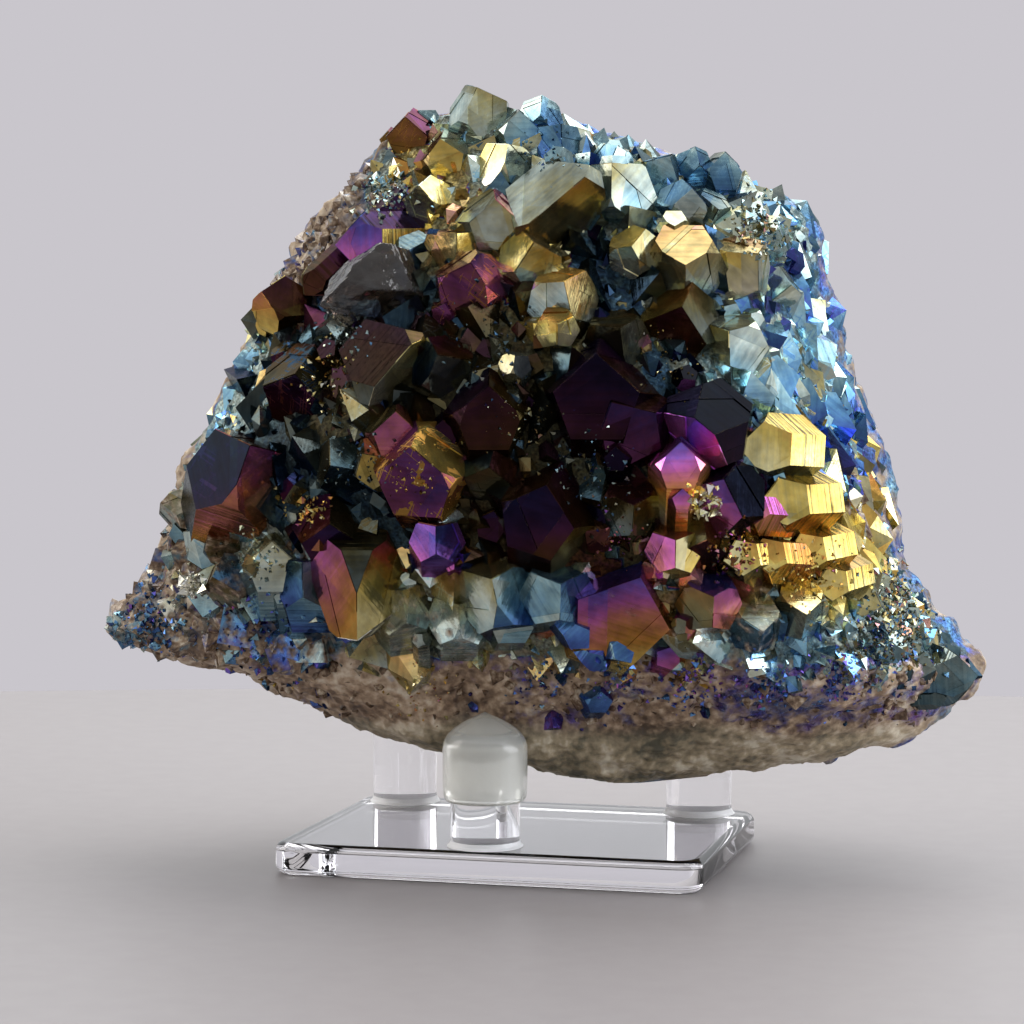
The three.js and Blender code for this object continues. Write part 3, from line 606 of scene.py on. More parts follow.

# The larger crystals: [place across and height, width over the prism faces, how far the tip stands
# out, degrees the axis leans right and up, turn of its first tip face]; then what its facets show:
# direction in degrees (0 right, 90 up), coat, painted shading. The shading is how dark or light the
# facet is painted in place of what it reflects: low values paint dark facets, values above 1 paint
# highlights. The facet nearest each direction takes it. A fourth number moves that facet off the tip
# by a share of the width, and the rest off by 0.3.
crystals = {
    "maroonTop": ([-15.8, 102.9, 7, 3.5, -14, 35, 30], [(150, .33, .2), (270, .30, .3), (30, .40, .22)]),
    "purpleStriated": ([-18.2, 86.6, 7.5, 8.5, -60, -2, 0], [(0, .47, 1.05), (60, .44, .5), (300, .43, .6)]),
    "darkRod": ([-24.5, 85, 4.5, 8, -75, -42, 20],
                [(0, .46, .10), (90, .40, .15), (180, .3, .15), (270, .5, .1)]),
    "goldSliver": ([-33, 77.5, 7.5, 6, -35, 25, 10],
                   [(190, .13, .9), (10, .31, .07), (310, .30, .08), (250, .25, .8)]),
    "redBrown": ([-18.4, 70.2, 10.5, 6, 10, -5, 19],
                 [(139, .31, .013, 0), (319, .16, .9, 0), (199, .84, .12, .2), (79, .86, .12, .25)]),
    "magentaScratched": ([-6.8, 80.5, 9, 6, 0, 30, 10], [(250, .38, .25), (10, .385, .7), (130, .31, .2)]),
    "brownLeft": ([-29.6, 67.2, 10.5, 6, -8, 15, 10], [(250, .44, .08), (10, .84, .25), (130, .85, .3)]),
    "indigoBlock": ([-38, 54.4, 13.5, 8.5, 12, 34, 67],
                    [(187, .57, .02), (307, .385, .9), (67, .29, .12), (127, .84, .2), (247, .40, .6)]),
    "purpleGold": ([-13, 56.2, 12, 8, -12, 25, 27],
                   [(267, .40, .26), (27, .155, .95), (147, .33, .6), (327, .30, .8)]),
    "silverMidget": ([-1, 69, 3.7, 4.6, 0, 30, 80], [(0, .77, .34), (180, .12, .4), (90, .8, .4)]),
    "mauveSmall": ([-16.7, 61, 7, 4.5, 0, 40, 30], [(270, .36, .65), (150, .85, .3), (30, .27, .5)]),
    "ochreWedge": ([-19.5, 57, 6, 4, -25, 20, 60], [(180, .86, .4), (300, .22, .5), (60, .84, .3)]),
    "oliveOrange": ([-4, 89, 8, 5.5, 5, 35, 30], [(270, .84, .75), (150, .80, .6), (30, .33, 1.0)]),
    "greyOlive": ([4.6, 91, 12.5, 7, 0, 8, 10],
                  [(130, .775, .62, 0), (310, .85, .45, 0), (250, .84, .5, .25), (10, .78, .6, .25)]),
    "paleGreen": ([12.8, 93, 9.5, 6.5, -8, 40, 90], [(210, .775, .75), (330, .76, .5), (90, .8, .4)]),
    "goldPoint": ([15.4, 84.8, 6.5, 5.5, -10, 10, 0], [(120, .16, 1.2), (240, .10, .9), (0, .77, .8)]),
    "oliveSilver": ([21.7, 83.3, 10, 7, 0, 0, 90], [(90, .82, .8), (210, .84, .75), (330, .83, .5)]),
    "goldRight": ([29.3, 82.8, 8.5, 6, 25, 20, 100], [(220, .14, .8), (340, .80, .9), (100, .83, .7)]),
    "yellowBright": ([5.4, 78.4, 8.3, 6, 0, 25, 105], [(225, .74, 1.1), (345, .86, .6), (105, .18, 1.1)]),
    "yellowGlint": ([4.5, 74.5, 5, 5.5, 0, 10, 90], [(330, .12, 1.5), (210, .16, 1.2), (90, .2, .5)]),
    "darkRound": ([21, 75.8, 10.5, 5, 0, 22, 10], [(250, .32, .12), (10, .84, .25), (130, .2, .35)]),
    "silverBlock": ([28.2, 72.8, 8, 5, -10, 20, 90], [(330, .77, 1.0), (210, .15, .9), (90, .8, .6)]),
    "purpleHeart": ([10, 66.3, 13, 8, -5, 42, 30], [(270, .48, .035), (150, .42, .10), (30, .31, .06)]),
    "darkMiddle": ([-4.4, 63.4, 10, 7, 0, 35, 30], [(270, .43, .05), (150, .46, .07), (30, .29, .08)]),
    "indigoMagenta": ([13.8, 62.7, 10, 6, -25, 25, 60], [(300, .45, .12), (180, .52, .10), (60, .31, .07)]),
    "navyMauve": ([24.6, 62.2, 10.5, 8, -8, 0, 51],
                  [(51, .60, .008, 0), (231, .47, 2.6, 0), (111, .5, .03, .1), (351, .5, .02, .1)]),
    "pinkFire": ([20.4, 54, 6.8, 8.5, 0, 46, 30], [(270, .385, 1.8), (150, .36, .9), (30, .36, .9)]),
    "navyLower": ([26.6, 52.4, 9.5, 7, -5, 25, 0],
                  [(0, .57, .03), (240, .45, .7), (120, .5, .1), (300, .58, .05)]),
    "goldPrismOne": ([32, 59, 8, 4.5, -52, 4, 0], [(0, .17, .95), (60, .14, .85), (300, .86, .5)]),
    "goldPrismTwo": ([35.2, 51.6, 7.4, 5.0, -50, 0, 10], [(0, .16, .95), (60, .13, .85), (300, .86, .5)]),
    "goldPrismThree": ([33.4, 44.2, 5.5, 4.5, -50, 5, 20], [(0, .20, .9), (60, .16, .9), (300, .24, .6)]),
    "goldPrismFour": ([38.5, 45, 6.0, 4.5, -48, -5, 10], [(0, .16, .95), (60, .14, .9), (300, .24, .6)]),
    "goldPrismFive": ([42, 40.8, 5.2, 4.0, -45, -8, 5], [(0, .16, .9), (60, .12, 1.0), (300, .86, .5)]),
    "goldPrismSix": ([31.4, 50.2, 5.0, 4.5, -50, 5, 30], [(30, .37, 1.0), (90, .35, .9), (330, .28, .6)]),
    "purpleLower": ([3, 50.7, 11.5, 8, 0, 30, 10],
                    [(250, .46, .06), (10, .3, .07), (130, .28, .08), (310, .24, .35)]),
    "mauveTriangle": ([-21.9, 42.2, 11.5, 7.5, 0, -40, 30],
                      [(150, .385, .42, 0), (30, .30, .42, 0), (90, .84, .15, .07), (330, .16, .7, .2)]),
    "darkLeftLow": ([-25.5, 48, 9, 5, 0, 12, 30], [(270, .42, .10), (150, .30, .10), (30, .84, .15)]),
    "violetPair": ([-11.3, 46.2, 6.2, 5.5, 0, 30, 90], [(210, .42, 1.15), (330, .48, .9), (90, .3, .3)]),
    "blueLeft": ([-29, 40.8, 8, 5, -5, 35, 90], [(330, .67, 1.1), (210, .60, .45), (90, .5, .3)]),
    "silverTeal": ([-33.6, 43, 8, 5, 0, 42, 30], [(150, .76, .95), (270, .80, .9), (30, .75, .9)]),
    "oliveLow": ([-16, 37.4, 7.5, 5, 0, 32, 100], [(220, .80, .9), (340, .82, .8), (100, .80, .6)]),
    "striatedSilver": ([-3, 40.5, 11, 6, -10, 15, 100], [(220, .80, .9), (340, .70, .8), (100, .82, .8)]),
    "silverLow": ([-1.5, 36.6, 7, 5, 5, 15, 30], [(150, .78, 1.1), (270, .80, 1.2), (30, .74, .9)]),
    "goldLow": ([-8.5, 36, 7.5, 5, 0, 26, 90], [(90, .82, .8), (210, .80, 1.2), (330, .82, 1.1)]),
    "blueGrey": ([4.5, 40, 8.5, 6, 5, 15, 90], [(90, .69, .7), (210, .73, .8), (330, .66, .75)]),
    "blueBladeOne": ([4.8, 37.4, 4.2, 7, 50, -42, 40], [(90, .62, .80), (225, .66, .96), (0, .70, 1.1)]),
    "blueBladeTwo": ([7.4, 34.6, 4, 7, 52, -45, 70], [(90, .60, .80), (225, .68, .96), (0, .72, 1.1)]),
    "blueBladeThree": ([11, 34.5, 4, 6, 48, -40, 10], [(90, .66, .80), (225, .74, .80), (0, .64, .96)]),
    "blueSpark": ([10.4, 25, 4.2, 2.0, 10, 20, 30], [(150, .60, .9), (270, .63, 1.3), (30, .52, .8)]),
    "mauveLarge": ([14.5, 41, 15, 3.6, 16, 22, 10], [(250, .475, .75), (10, .40, .7), (130, .46, .6)]),
    "pinkYellow": ([19.8, 45.6, 6.4, 5.5, 0, 20, 90], [(210, .385, 1.1), (330, .15, 1.0), (90, .3, .4)]),
    "pinkRound": ([24.5, 38.8, 7.5, 5.5, 5, 12, 90], [(90, .45, .5), (210, .86, .45), (330, .37, .8)]),
    "brownBlock": ([23, 47.5, 7.5, 5, 10, 0, 30], [(30, .28, .12), (150, .84, .16), (270, .30, .10)]),
    "leftTooth": ([-47.5, 49.5, 5, 4, -50, 15, 30], [(150, .84, .5), (270, .80, .6), (30, .84, .35)]),
    "crownOne": ([-6, 105.5, 8, 4.5, -5, 45, 60], [(60, .74, 1.0), (180, .78, 1.1), (300, .81, .95)]),
    "crownTwo": ([-0.5, 102.5, 6, 3.5, 5, 50, 30], [(30, .66, .6), (150, .72, .9), (270, .69, .9)]),
    "crownThree": ([5, 100.8, 6.5, 3.5, 10, 45, 90], [(90, .66, .5), (210, .67, .9), (330, .66, .5)]),
    "crownFour": ([-10.5, 99, 6.5, 4, -15, 35, 40], [(0, .76, .9), (180, .84, .6), (270, .16, .9)]),
    "crownFive": ([-2, 97.6, 7.5, 4, 0, 40, 80], [(80, .77, .95), (200, .14, .7), (320, .80, .6)]),
    "crownSix": ([-13, 92.5, 6, 4, -20, 30, 20], [(0, .14, .9), (180, .79, .9), (270, .83, .8)]),
    "crownSeven": ([12.5, 97.6, 5.5, 3.5, 15, 45, 60], [(60, .66, .4), (180, .68, .55), (300, .74, .9)]),
    "crownEight": ([19.5, 96.4, 5.5, 3.5, 20, 40, 110], [(110, .66, .7), (230, .73, .9), (350, .70, .7)]),
    "crownNine": ([27.5, 95.2, 6, 5, 18, 58, 30], [(30, .64, .45), (150, .71, .6), (270, .68, .6)]),
    "crownTen": ([2.5, 103.2, 5.5, 4.8, 8, 62, 80], [(80, .68, .5), (200, .72, .8), (320, .66, .5)]),
    "crownEleven": ([24, 96.2, 5, 4.5, 5, 60, 100], [(100, .66, .45), (220, .70, .7), (340, .64, .5)]),
    "upperRightOne": ([22, 91.6, 6.5, 4, 20, 35, 30], [(30, .66, .6), (150, .68, .7), (270, .76, .8)]),
    "upperRightTwo": ([26, 91, 5.5, 2.5, 20, 5, 70], [(70, .70, .3), (190, .74, .5), (310, .68, .4)]),
    "upperRightThree": ([34.5, 87.5, 6, 3, 20, 20, 10], [(10, .72, .9), (130, .76, .9), (250, .74, 1.0)]),
    "upperRightFour": ([36, 80.5, 6, 2.6, 28, 10, 40], [(40, .70, .8), (160, .72, 1.0), (280, .75, .9)]),
    "oliveWedge": ([-8.5, 85.6, 6.5, 4, -5, 30, 90], [(90, .83, .7), (210, .84, .7), (330, .15, 1.0)]),
    "oliveFlat": ([1.2, 84, 8, 4.5, 5, 30, 50], [(50, .83, .7), (170, .15, .9), (290, .82, .8)]),
    "lowRightOne": ([47, 37.5, 5, 3, 35, -5, 40], [(0, .76, .9), (180, .14, .8), (270, .74, .7)]),
    "lowRightTwo": ([50, 31.5, 4, 3, 45, -5, 90], [(0, .74, .9), (180, .70, .6), (270, .76, .7)]),
    "lowRightThree": ([37, 37.4, 7.5, 4, 10, -5, 90], [(90, .13, .9), (210, .85, .5), (330, .80, .7)]),
    "lowRightFour": ([31, 35.6, 7, 4, 10, -10, 90], [(90, .83, .8), (210, .74, .5), (330, .70, .5)]),
    "rightTip": ([60, 26.6, 7, 3.6, 62, 5, 60], [(0, .67, .3), (180, .68, .35), (270, .72, .25)]),
    "lowLeftOne": ([-40.5, 40.5, 7, 3.5, -30, 10, 30], [(0, .62, .5), (180, .86, .35), (90, .66, .5)]),
    "lowLeftThree": ([-41.5, 46, 7, 3, -30, 5, 50], [(0, .84, .3), (180, .66, .3), (90, .30, .25)]),
    "lowLeftFour": ([-23, 36.4, 7, 4, -15, 5, 110], [(0, .66, .7), (180, .60, .7), (90, .56, .5)]),
    "goldPrismSeven": ([29.2, 44.4, 5.5, 4.2, -42, 0, 15], [(0, .16, 1.0), (60, .14, .9), (300, .84, .5)]),
    "creviceOne": ([-24, 56.5, 7.5, 4, -20, 5, 50], [(50, .68, .15), (170, .84, .15), (290, .67, .12)]),
    "creviceTwo": ([-4, 56.5, 7.5, 4, -5, 5, 20], [(20, .30, .08), (140, .67, .12), (260, .84, .18)]),
    "creviceThree": ([14, 51.5, 7.5, 4.5, 5, 5, 90], [(90, .30, .10), (210, .84, .2), (330, .2, .25)]),
    "creviceFour": ([-10.5, 70, 8, 4, -10, 20, 60], [(60, .28, .10), (180, .68, .14), (300, .84, .2)]),
    "creviceFive": ([12.5, 73.5, 8, 4, 5, 20, 100], [(100, .84, .2), (220, .84, .12), (340, .80, .25)]),
    "creviceSix": ([-25, 74, 6, 4, -25, 20, 10], [(10, .70, .3), (130, .78, .4), (250, .66, .15)]),
}
# what the six sides show where it differs from the tip: the same directions, coat and painted shading
columns = {
    "purpleStriated": [(0, .20, .8), (60, .42, .10), (300, .16, .8)],
    "goldPrismOne": [(0, .19, .75), (60, .17, .68), (300, .86, .4)],
    "goldPrismTwo": [(0, .18, .75), (60, .16, .7), (300, .24, .5)],
    "goldPrismThree": [(0, .20, .75), (60, .18, .72), (300, .25, .4)],
    "goldPrismFour": [(0, .17, .75), (60, .15, .72), (300, .20, .5)],
    "goldPrismFive": [(0, .15, .8), (60, .80, .8), (300, .85, .6)],
    "goldPrismSix": [(0, .36, .9), (60, .33, .8), (300, .26, .5)],
}
facet = {
    "swell": 1.08, "slope": 51.8, "standOff": (0.10, 0.24), "ridgeOff": 0.3, "narrow": 0.92,
    "rootShare": 0.6, "rootExtra": 2, "hueRise": 0.012, "tipLined": 0.34, "striated": 1.7,
    "lineStep": 11.3, "under": 0.35, "hueSpread": 0.008, "tones": (0.85, 1.12), "seed": 5, "rubbed": 0.07,
}
# crystals that differ: longer root (mm), hue by height, share coated, how scuffed
longRoots = {"maroonTop": -3, "darkRod": 7, "purpleStriated": 2, "blueBladeOne": 3, "blueBladeTwo": 3,
             "blueBladeThree": 3}
steepHue = {"pinkFire": 0.035, "mauveLarge": 0.028, "indigoBlock": 0.014, "navyMauve": 0.004,
            "darkMiddle": 0.018, "greyOlive": 0.003, "paleGreen": 0.004}
thinFilm = {"mauveLarge": 0.8, "pinkRound": 0.8, "lowRightFour": 0.62, "oliveLow": 0.66, "goldLow": 0.64,
            "lowLeftOne": 0.56, "leftTooth": 0.56, "lowLeftThree": 0.6}
worn = {"purpleGold": 1.0, "magentaScratched": 0.6, "maroonTop": 0.5, "brownLeft": 0.4, "indigoBlock": 0.12}
companions = {"each": 2, "beside": 6, "width": (0.30, 0.5), "aside": (0.5, 0.66), "lower": (0.45, 0.8),
              "hueSpread": 0.03, "tones": (0.6, 1.2)}
plates = {"leastArea": 9.0, "each": 3, "reach": (0.12, 0.8), "thickness": (0.05, 0.17), "sunk": 0.05,
          "hueSpread": 0.025, "tones": (0.75, 1.3)}
crystalRows = np.array([row for row, _ in crystals.values()], float)
crystalSeats = facePoint(crystalRows[:, 0], crystalRows[:, 1])


def crystalSolid(width, length, spin, offs):
    # where thirteen half-spaces meet: flat root, six prism faces, six tip faces at the slope of
    # quartz, each moved off the tip by its share of the width; returns corners, faces and kinds
    normals, reaches = [(0, 0, -1)], [length]
    slope = math.radians(facet["slope"])
    for k in range(6):
        angle = math.radians(spin + 60 * k)
        out = (math.cos(angle), math.sin(angle))
        normals.append((out[0], out[1], 0))
        reaches.append(width / 2 * (facet["narrow"] if k % 2 else 1))
        normals.append((out[0] * math.sin(slope), out[1] * math.sin(slope), math.cos(slope)))
        reaches.append(offs[k] * width)
    normals, reaches = np.array(normals), np.array(reaches)
    trios = np.array(list(itertools.combinations(range(len(normals)), 3)))
    meeting = np.abs(np.linalg.det(normals[trios])) > 1e-6
    corners = np.linalg.solve(normals[trios[meeting]], reaches[trios[meeting]][..., None])[..., 0]
    corners = corners[(corners @ normals.T <= reaches + 1e-6).all(axis=1)]
    corners = np.unique(corners.round(5), axis=0)
    faces, kinds = [], []
    for k, (normal, reach) in enumerate(zip(normals, reaches)):
        on = np.flatnonzero(np.abs(corners @ normal - reach) < 1e-4)
        if len(on) < 3:
            continue
        arm = corners[on] - corners[on].mean(axis=0)
        first = arm[0] / np.linalg.norm(arm[0])
        turn = np.arctan2(arm @ np.cross(normal, first), arm @ first)
        faces.append(on[np.argsort(turn)])
        kinds.append("root" if k == 0 else "prism" if k % 2 else "tip")
    return corners, faces, kinds


def leaningAxes(right, up):
    # the axis leans right and up from straight out of the face; two sides across it
    right, up = np.radians(right), np.radians(up)
    axis = np.stack([np.sin(right) * np.cos(up), -np.cos(right) * np.cos(up), np.sin(up)], axis=-1)
    side = unit(np.cross([0.0, 0.0, 1.0], axis))
    return side, np.cross(axis, side), axis


def clipped(loop, inward, limit):
    # the part of a flat polygon that lies at least the limit along a direction
    depth = loop @ inward - limit
    kept = []
    for here, there, a, b in zip(loop, np.roll(loop, -1, axis=0), depth, np.roll(depth, -1)):
        if a >= 0:
            kept.append(here)
        if a * b < 0:
            kept.append(here + (there - here) * a / (a - b))
    return np.array(kept)


def tipOffsets(shows, spin, draw):
    # how far each of the six tip faces stands off the tip, as a share of the width
    offs = [0.0 if k % 2 == 0 else draw.uniform(*facet["standOff"]) for k in range(6)]
    if any(len(entry) == 4 for entry in shows):
        offs = [facet["ridgeOff"]] * 6
        for direction, _, _, off in [entry for entry in shows if len(entry) == 4]:
            offs[round((direction - spin) / 60) % 6] = off
    return offs


def growthPlates(flat, draw):
    # thin steps on a facet: the part of it past a line, its thickness, and shifts of hue and of painted
    # shading
    centre = flat.mean(axis=0)
    made = []
    for _ in range(plates["each"]):
        corner = draw.integers(len(flat))
        outward = (flat[corner] + flat[corner - 1]) / 2 - centre
        reach = np.linalg.norm(outward)
        outward = outward / reach
        sheet = clipped(flat, outward, centre @ outward + reach * draw.uniform(*plates["reach"]))
        if len(sheet) > 2:
            thickness, hueShift = draw.uniform(*plates["thickness"]), draw.normal(0, plates["hueSpread"])
            made.append((sheet, thickness, hueShift, draw.uniform(*plates["tones"])))
    return made


def sheetFaces(count):
    # under side, upper side and the quads between, for two rings of corners one after the other
    ring = np.arange(count)
    after = (ring + 1) % count
    return [ring[::-1], ring + count, *np.stack([ring, after, after + count, ring + count], axis=-1)]


def dressedCrystal(tip, axes, size, length, spin, offs, looks, lined, draw):
    # the solid with its tip in place and plates on its larger tip facets; each face takes the coat
    # and painted shading listed for the direction nearest its own round the axis
    corners, loops, kinds = crystalSolid(size, length, spin, offs)
    points, faces, values = [tip + corners @ axes], [], []
    total = len(corners)
    for loop, kind in zip(loops, kinds):
        flat = points[0][loop]
        normal = np.cross(flat[1] - flat[0], flat[2] - flat[1])
        normal /= np.linalg.norm(normal)
        area = np.linalg.norm(np.cross(flat[1:-1] - flat[0], flat[2:] - flat[0]), axis=1).sum() / 2
        toward = math.degrees(math.atan2(normal @ axes[1], normal @ axes[0]))
        nearest = min(looks[kind == "prism"], key=lambda entry: abs((entry[0] - toward + 180) % 360 - 180))
        coat = nearest[1] + draw.normal(0, facet["hueSpread"])
        shade = nearest[2] * draw.uniform(*facet["tones"])
        faces.append(loop)
        values.append((coat, shade, lined[kind == "prism"]))
        if kind != "tip" or area <= plates["leastArea"]:
            continue
        for sheet, rise, hueShift, shadeShift in growthPlates(flat, draw):
            points.append(np.vstack([sheet - normal * plates["sunk"], sheet + normal * rise]))
            thin = sheetFaces(len(sheet))
            faces += [face + total for face in thin]
            values += [(coat + hueShift, shade * shadeShift, lined[False])] * len(thin)
            total += 2 * len(sheet)
    return np.vstack(points), faces, np.array(values)


def withCompanions(seat, axes, width, proud, shows, spin, draw):
    # the crystal, then smaller ones with the same axis beside it and lower: tip, width, shift of
    # hue, share of painted shading, stand-off of the tip faces
    side, over, axis = axes
    made = [(seat + axis * proud, width * facet["swell"], 0.0, 1.0, tipOffsets(shows, spin, draw))]
    for _ in range(companions["each"] if width > companions["beside"] else 0):
        turn = draw.uniform(0, 2 * math.pi)
        aside = width * draw.uniform(*companions["aside"])
        small = width * draw.uniform(*companions["width"])
        lower = width * draw.uniform(*companions["lower"])
        tip = seat + axis * (proud - lower) + side * aside * math.cos(turn) + over * aside * math.sin(turn)
        hueShift, shadeShift = draw.normal(0, companions["hueSpread"]), draw.uniform(*companions["tones"])
        made.append((tip, small, hueShift, shadeShift, tipOffsets([], spin, draw)))
    return made


def largeCrystals():
    # every corner gets its facet's coat, which rises with height by hueRise, or steepHue, for each mm
    draw = np.random.default_rng(facet["seed"])
    blocks, faces, values = [], [], []
    total = 0
    for number, ((name, (row, shows)), seat) in enumerate(zip(crystals.items(), crystalSeats)):
        _, _, width, proud, right, up, spin = row
        axes = np.stack(leaningAxes(right, up))
        lined = {True: facet["striated"] if name in columns else 1.0, False: facet["tipLined"]}
        looks = {True: columns.get(name, shows), False: shows}
        made = withCompanions(seat, axes, width, proud, shows, spin, draw)
        for tip, size, hueShift, shadeShift, offs in made:
            length = proud + size * facet["rootShare"] + facet["rootExtra"] + longRoots.get(name, 0)
            points, loops, own = dressedCrystal(tip, axes, size, length, spin, offs, looks, lined, draw)
            if size <= width / 2 and name in columns:
                continue    # a prism that lies over stands by itself
            corner = np.concatenate(loops)
            coat, shade, lines = np.repeat(own, [len(loop) for loop in loops], axis=0).T
            rise = points[corner, 2] - points[:, 2].max() + facet["under"] * size
            coat = coat + hueShift + steepHue.get(name, facet["hueRise"]) * rise
            # growth lines start elsewhere on each crystal, so that no two look alike
            depth = (points[corner] - tip) @ axes[2] + number * facet["lineStep"]
            thin, wear = np.full((2, len(corner)), [[thinFilm.get(name, 1.0)], [worn.get(name, 0.0)]])
            values.append(np.stack([coat, shade * shadeShift, thin, depth, lines, wear]))
            faces += [(loop + total).tolist() for loop in loops]
            blocks.append(points)
            total += len(points)
    values = np.concatenate(values, axis=1)
    corner = {"coat": values[0].clip(0, 1), "shade": values[1], "coated": values[2], "growth": values[3:].T}
    return np.vstack(blocks), faces, corner


largePoints, largeFaces, largeValues = largeCrystals()
largePiece = addPiece("large_crystals", toStand(largePoints), largeFaces, filmOnCrystals, corner=largeValues)
# every edge of the large crystals takes this second material: rubbed film and a painted highlight, bright
# even on dark facets
largePiece.data.materials.append(rubbedEdgesAndHighlight)
wornEdgesAndHighlight = largePiece.modifiers.new("worn edges and painted highlight", "BEVEL")
wornEdgesAndHighlight.material = 1
wornEdgesAndHighlight.width = facet["rubbed"] * mm
wornEdgesAndHighlight.segments = 1
wornEdgesAndHighlight.limit_method = "ANGLE"

# the small crystals between and round them
druse = {
    "tries": 15000, "packing": 0.30, "lean": 20, "proud": (0.10, 0.42), "root": 1.6, "fall": (0.75, 1.15),
    "broader": 1.42, "sink": 0.4, "clear": 0.44, "downRight": (0.45, -0.2, -0.87), "lineStep": 7.7,
    "uneven": (0.8, 1.25), "eachFall": (0.75, 1.3), "tones": (0.35, 1.4), "sizes": (0.34, -0.7, 0.4),
    "under": 1.5, "sideTone": 0.8, "sideSpread": 0.5, "lined": (0.8, 0.3), "scuffed": 0.1, "seed": 17,
    "slant": 0.25, "sharing": (-0.2, 1.8),
}


def repeated(loops, total):
    # the same faces for each of many solids, whose corners follow one another
    size = max(map(max, loops)) + 1
    return [[k + start for k in loop] for start in range(0, total * size, size) for loop in loops]


def smallCrystals(seats, axes, widths, prouds, draw, coats, spreads, paintedShades, coated, stretch):
    # six-sided columns, drawn out along downRight by the stretch; three ridges fall from the tip to
    # every second corner, and a corner between two ridges falls by the sum of both, which makes one
    # flat face between them; some crystals keep it higher, so that all six faces show
    total = len(seats)
    drawnOut = np.array(druse["downRight"])
    long = drawnOut - axes * (axes @ drawnOut)[:, None]
    long = long + draw.normal(0, druse["slant"], (total, 3))
    long -= axes * (long * axes).sum(axis=1, keepdims=True)
    side = unit(long)
    over = np.cross(axes, side)
    spin = draw.uniform(0, 2 * math.pi, total)[:, None] + np.arange(6) * math.pi / 3
    reach = widths[:, None] / 2 * draw.uniform(*druse["uneven"], (total, 6))
    x, y = reach * np.cos(spin) * stretch[:, None], reach * np.sin(spin) / np.sqrt(stretch)[:, None]
    fall = reach * draw.uniform(*druse["fall"], (total, 1)) * draw.uniform(*druse["eachFall"], (total, 6))
    flat = np.roll(fall / reach, 1, axis=1) + np.roll(fall / reach, -1, axis=1)
    sharing = np.clip(draw.uniform(*druse["sharing"], (total, 1)), 0, 1)
    between = np.arange(6) % 2 == 1
    fall = np.where(between, reach * flat * sharing + fall * 1.1 * (1 - sharing), fall)
    shoulder = prouds[:, None] - fall
    root = np.minimum(-druse["root"], shoulder.min(axis=1) - 0.3)[:, None] + np.zeros((1, 6))
    middle = np.zeros((total, 1))
    x, y = [np.concatenate([way, way, middle], axis=1)[..., None] for way in (x, y)]
    z = np.concatenate([root, shoulder, prouds[:, None]], axis=1)
    points = seats[:, None] + x * side[:, None] + y * over[:, None] + z[..., None] * axes[:, None]
    loops = [[k, (k + 1) % 6, 6 + (k + 1) % 6, 6 + k] for k in range(6)]
    loops += [[6 + k, 6 + (k + 1) % 6, 12] for k in range(6)] + [[5, 4, 3, 2, 1, 0]]
    order = np.concatenate(loops)
    faces = repeated(loops, total)
    # neighbouring tip faces pair up, so that three faces lead; each pair has its own coat and painted
    # shading, drawn at random, and the six sides are painted darker than the tip faces by sideTone
    pair = np.array([0, 0, 1, 1, 2, 2])
    hue = draw.normal(0, 1, (total, 3))
    light = draw.uniform(*druse["tones"], (total, 3))
    hue = np.concatenate([hue[:, pair] * druse["sideSpread"], hue[:, pair], hue[:, :1]], axis=1)
    light = np.concatenate([light[:, pair] * druse["sideTone"], light[:, pair], light[:, :1]], axis=1)
    lengths = [len(loop) for loop in loops]
    heights = points[:, order, 2] - seats[:, None, 2]
    coat = coats[:, None] + spreads[:, None] * np.repeat(hue, lengths, axis=1) + facet["hueRise"] * heights
    shade = paintedShades[:, None] * np.repeat(light, lengths, axis=1)
    onSides, onTip = druse["lined"]
    growth = np.zeros((total, len(order), 3))
    growth[..., 0] = z[:, order] + np.arange(total)[:, None] * druse["lineStep"]
    growth[..., 1] = np.repeat([onSides] * 6 + [onTip] * 6 + [0], lengths)
    growth[..., 2] = druse["scuffed"] * draw.integers(0, 2, total)[:, None]
    corner = {"coat": np.clip(coat, 0, 1).ravel(), "shade": shade.ravel(),
              "coated": np.repeat(coated, len(order)), "growth": growth.reshape(-1, 3)}
    return points.reshape(-1, 3), faces, corner


def tilted(normals, lean, draw):
    # each axis leans from the normal by a random angle
    return unit(normals + draw.normal(0, math.tan(math.radians(lean)) / 1.5, normals.shape))


def only(kept, *arrays):
    # the chosen entries of each array
    return [values[kept] for values in arrays]


def scattered(total, low, high, draw):
    # random places on the crystal face between two levels, evenly spread by area: cells are drawn
    # by their size; gives the rise, the way round and the point of each
    cells = 160
    rows, columns = np.linspace(0.0, 1.0, cells), np.linspace(0.0, rightEdge - 0.01, cells)
    rise, around = [grid.ravel() for grid in np.meshgrid(rows, columns, indexing="ij")]
    area = np.linalg.norm(bodyAcross(rise, around, 0.003), axis=1)
    picked = draw.choice(len(area), total, p=area / area.sum())
    rise = np.clip(rise[picked] + draw.uniform(-0.5, 0.5, total) * (rows[1] - rows[0]), 0, 1)
    around = around[picked] + draw.uniform(-0.5, 0.5, total) * (columns[1] - columns[0])
    points = bodyPoint(rise, around)
    level = points[:, 2] + wander(points)
    return only((level > low) & (level < high), rise, around, points)


def spacedOut(points, sizes, packing):
    # larger ones first; one is kept if it stands clear of all those kept before it
    kept = []
    keptPoints = np.empty((0, 3))
    keptSizes = np.empty(0)
    for k in np.argsort(-sizes):
        apart = np.linalg.norm(keptPoints - points[k], axis=1)
        if (apart > packing * (keptSizes + sizes[k])).all():
            kept.append(k)
            keptPoints = np.vstack([keptPoints, points[k]])
            keptSizes = np.append(keptSizes, sizes[k])
    return np.array(kept)


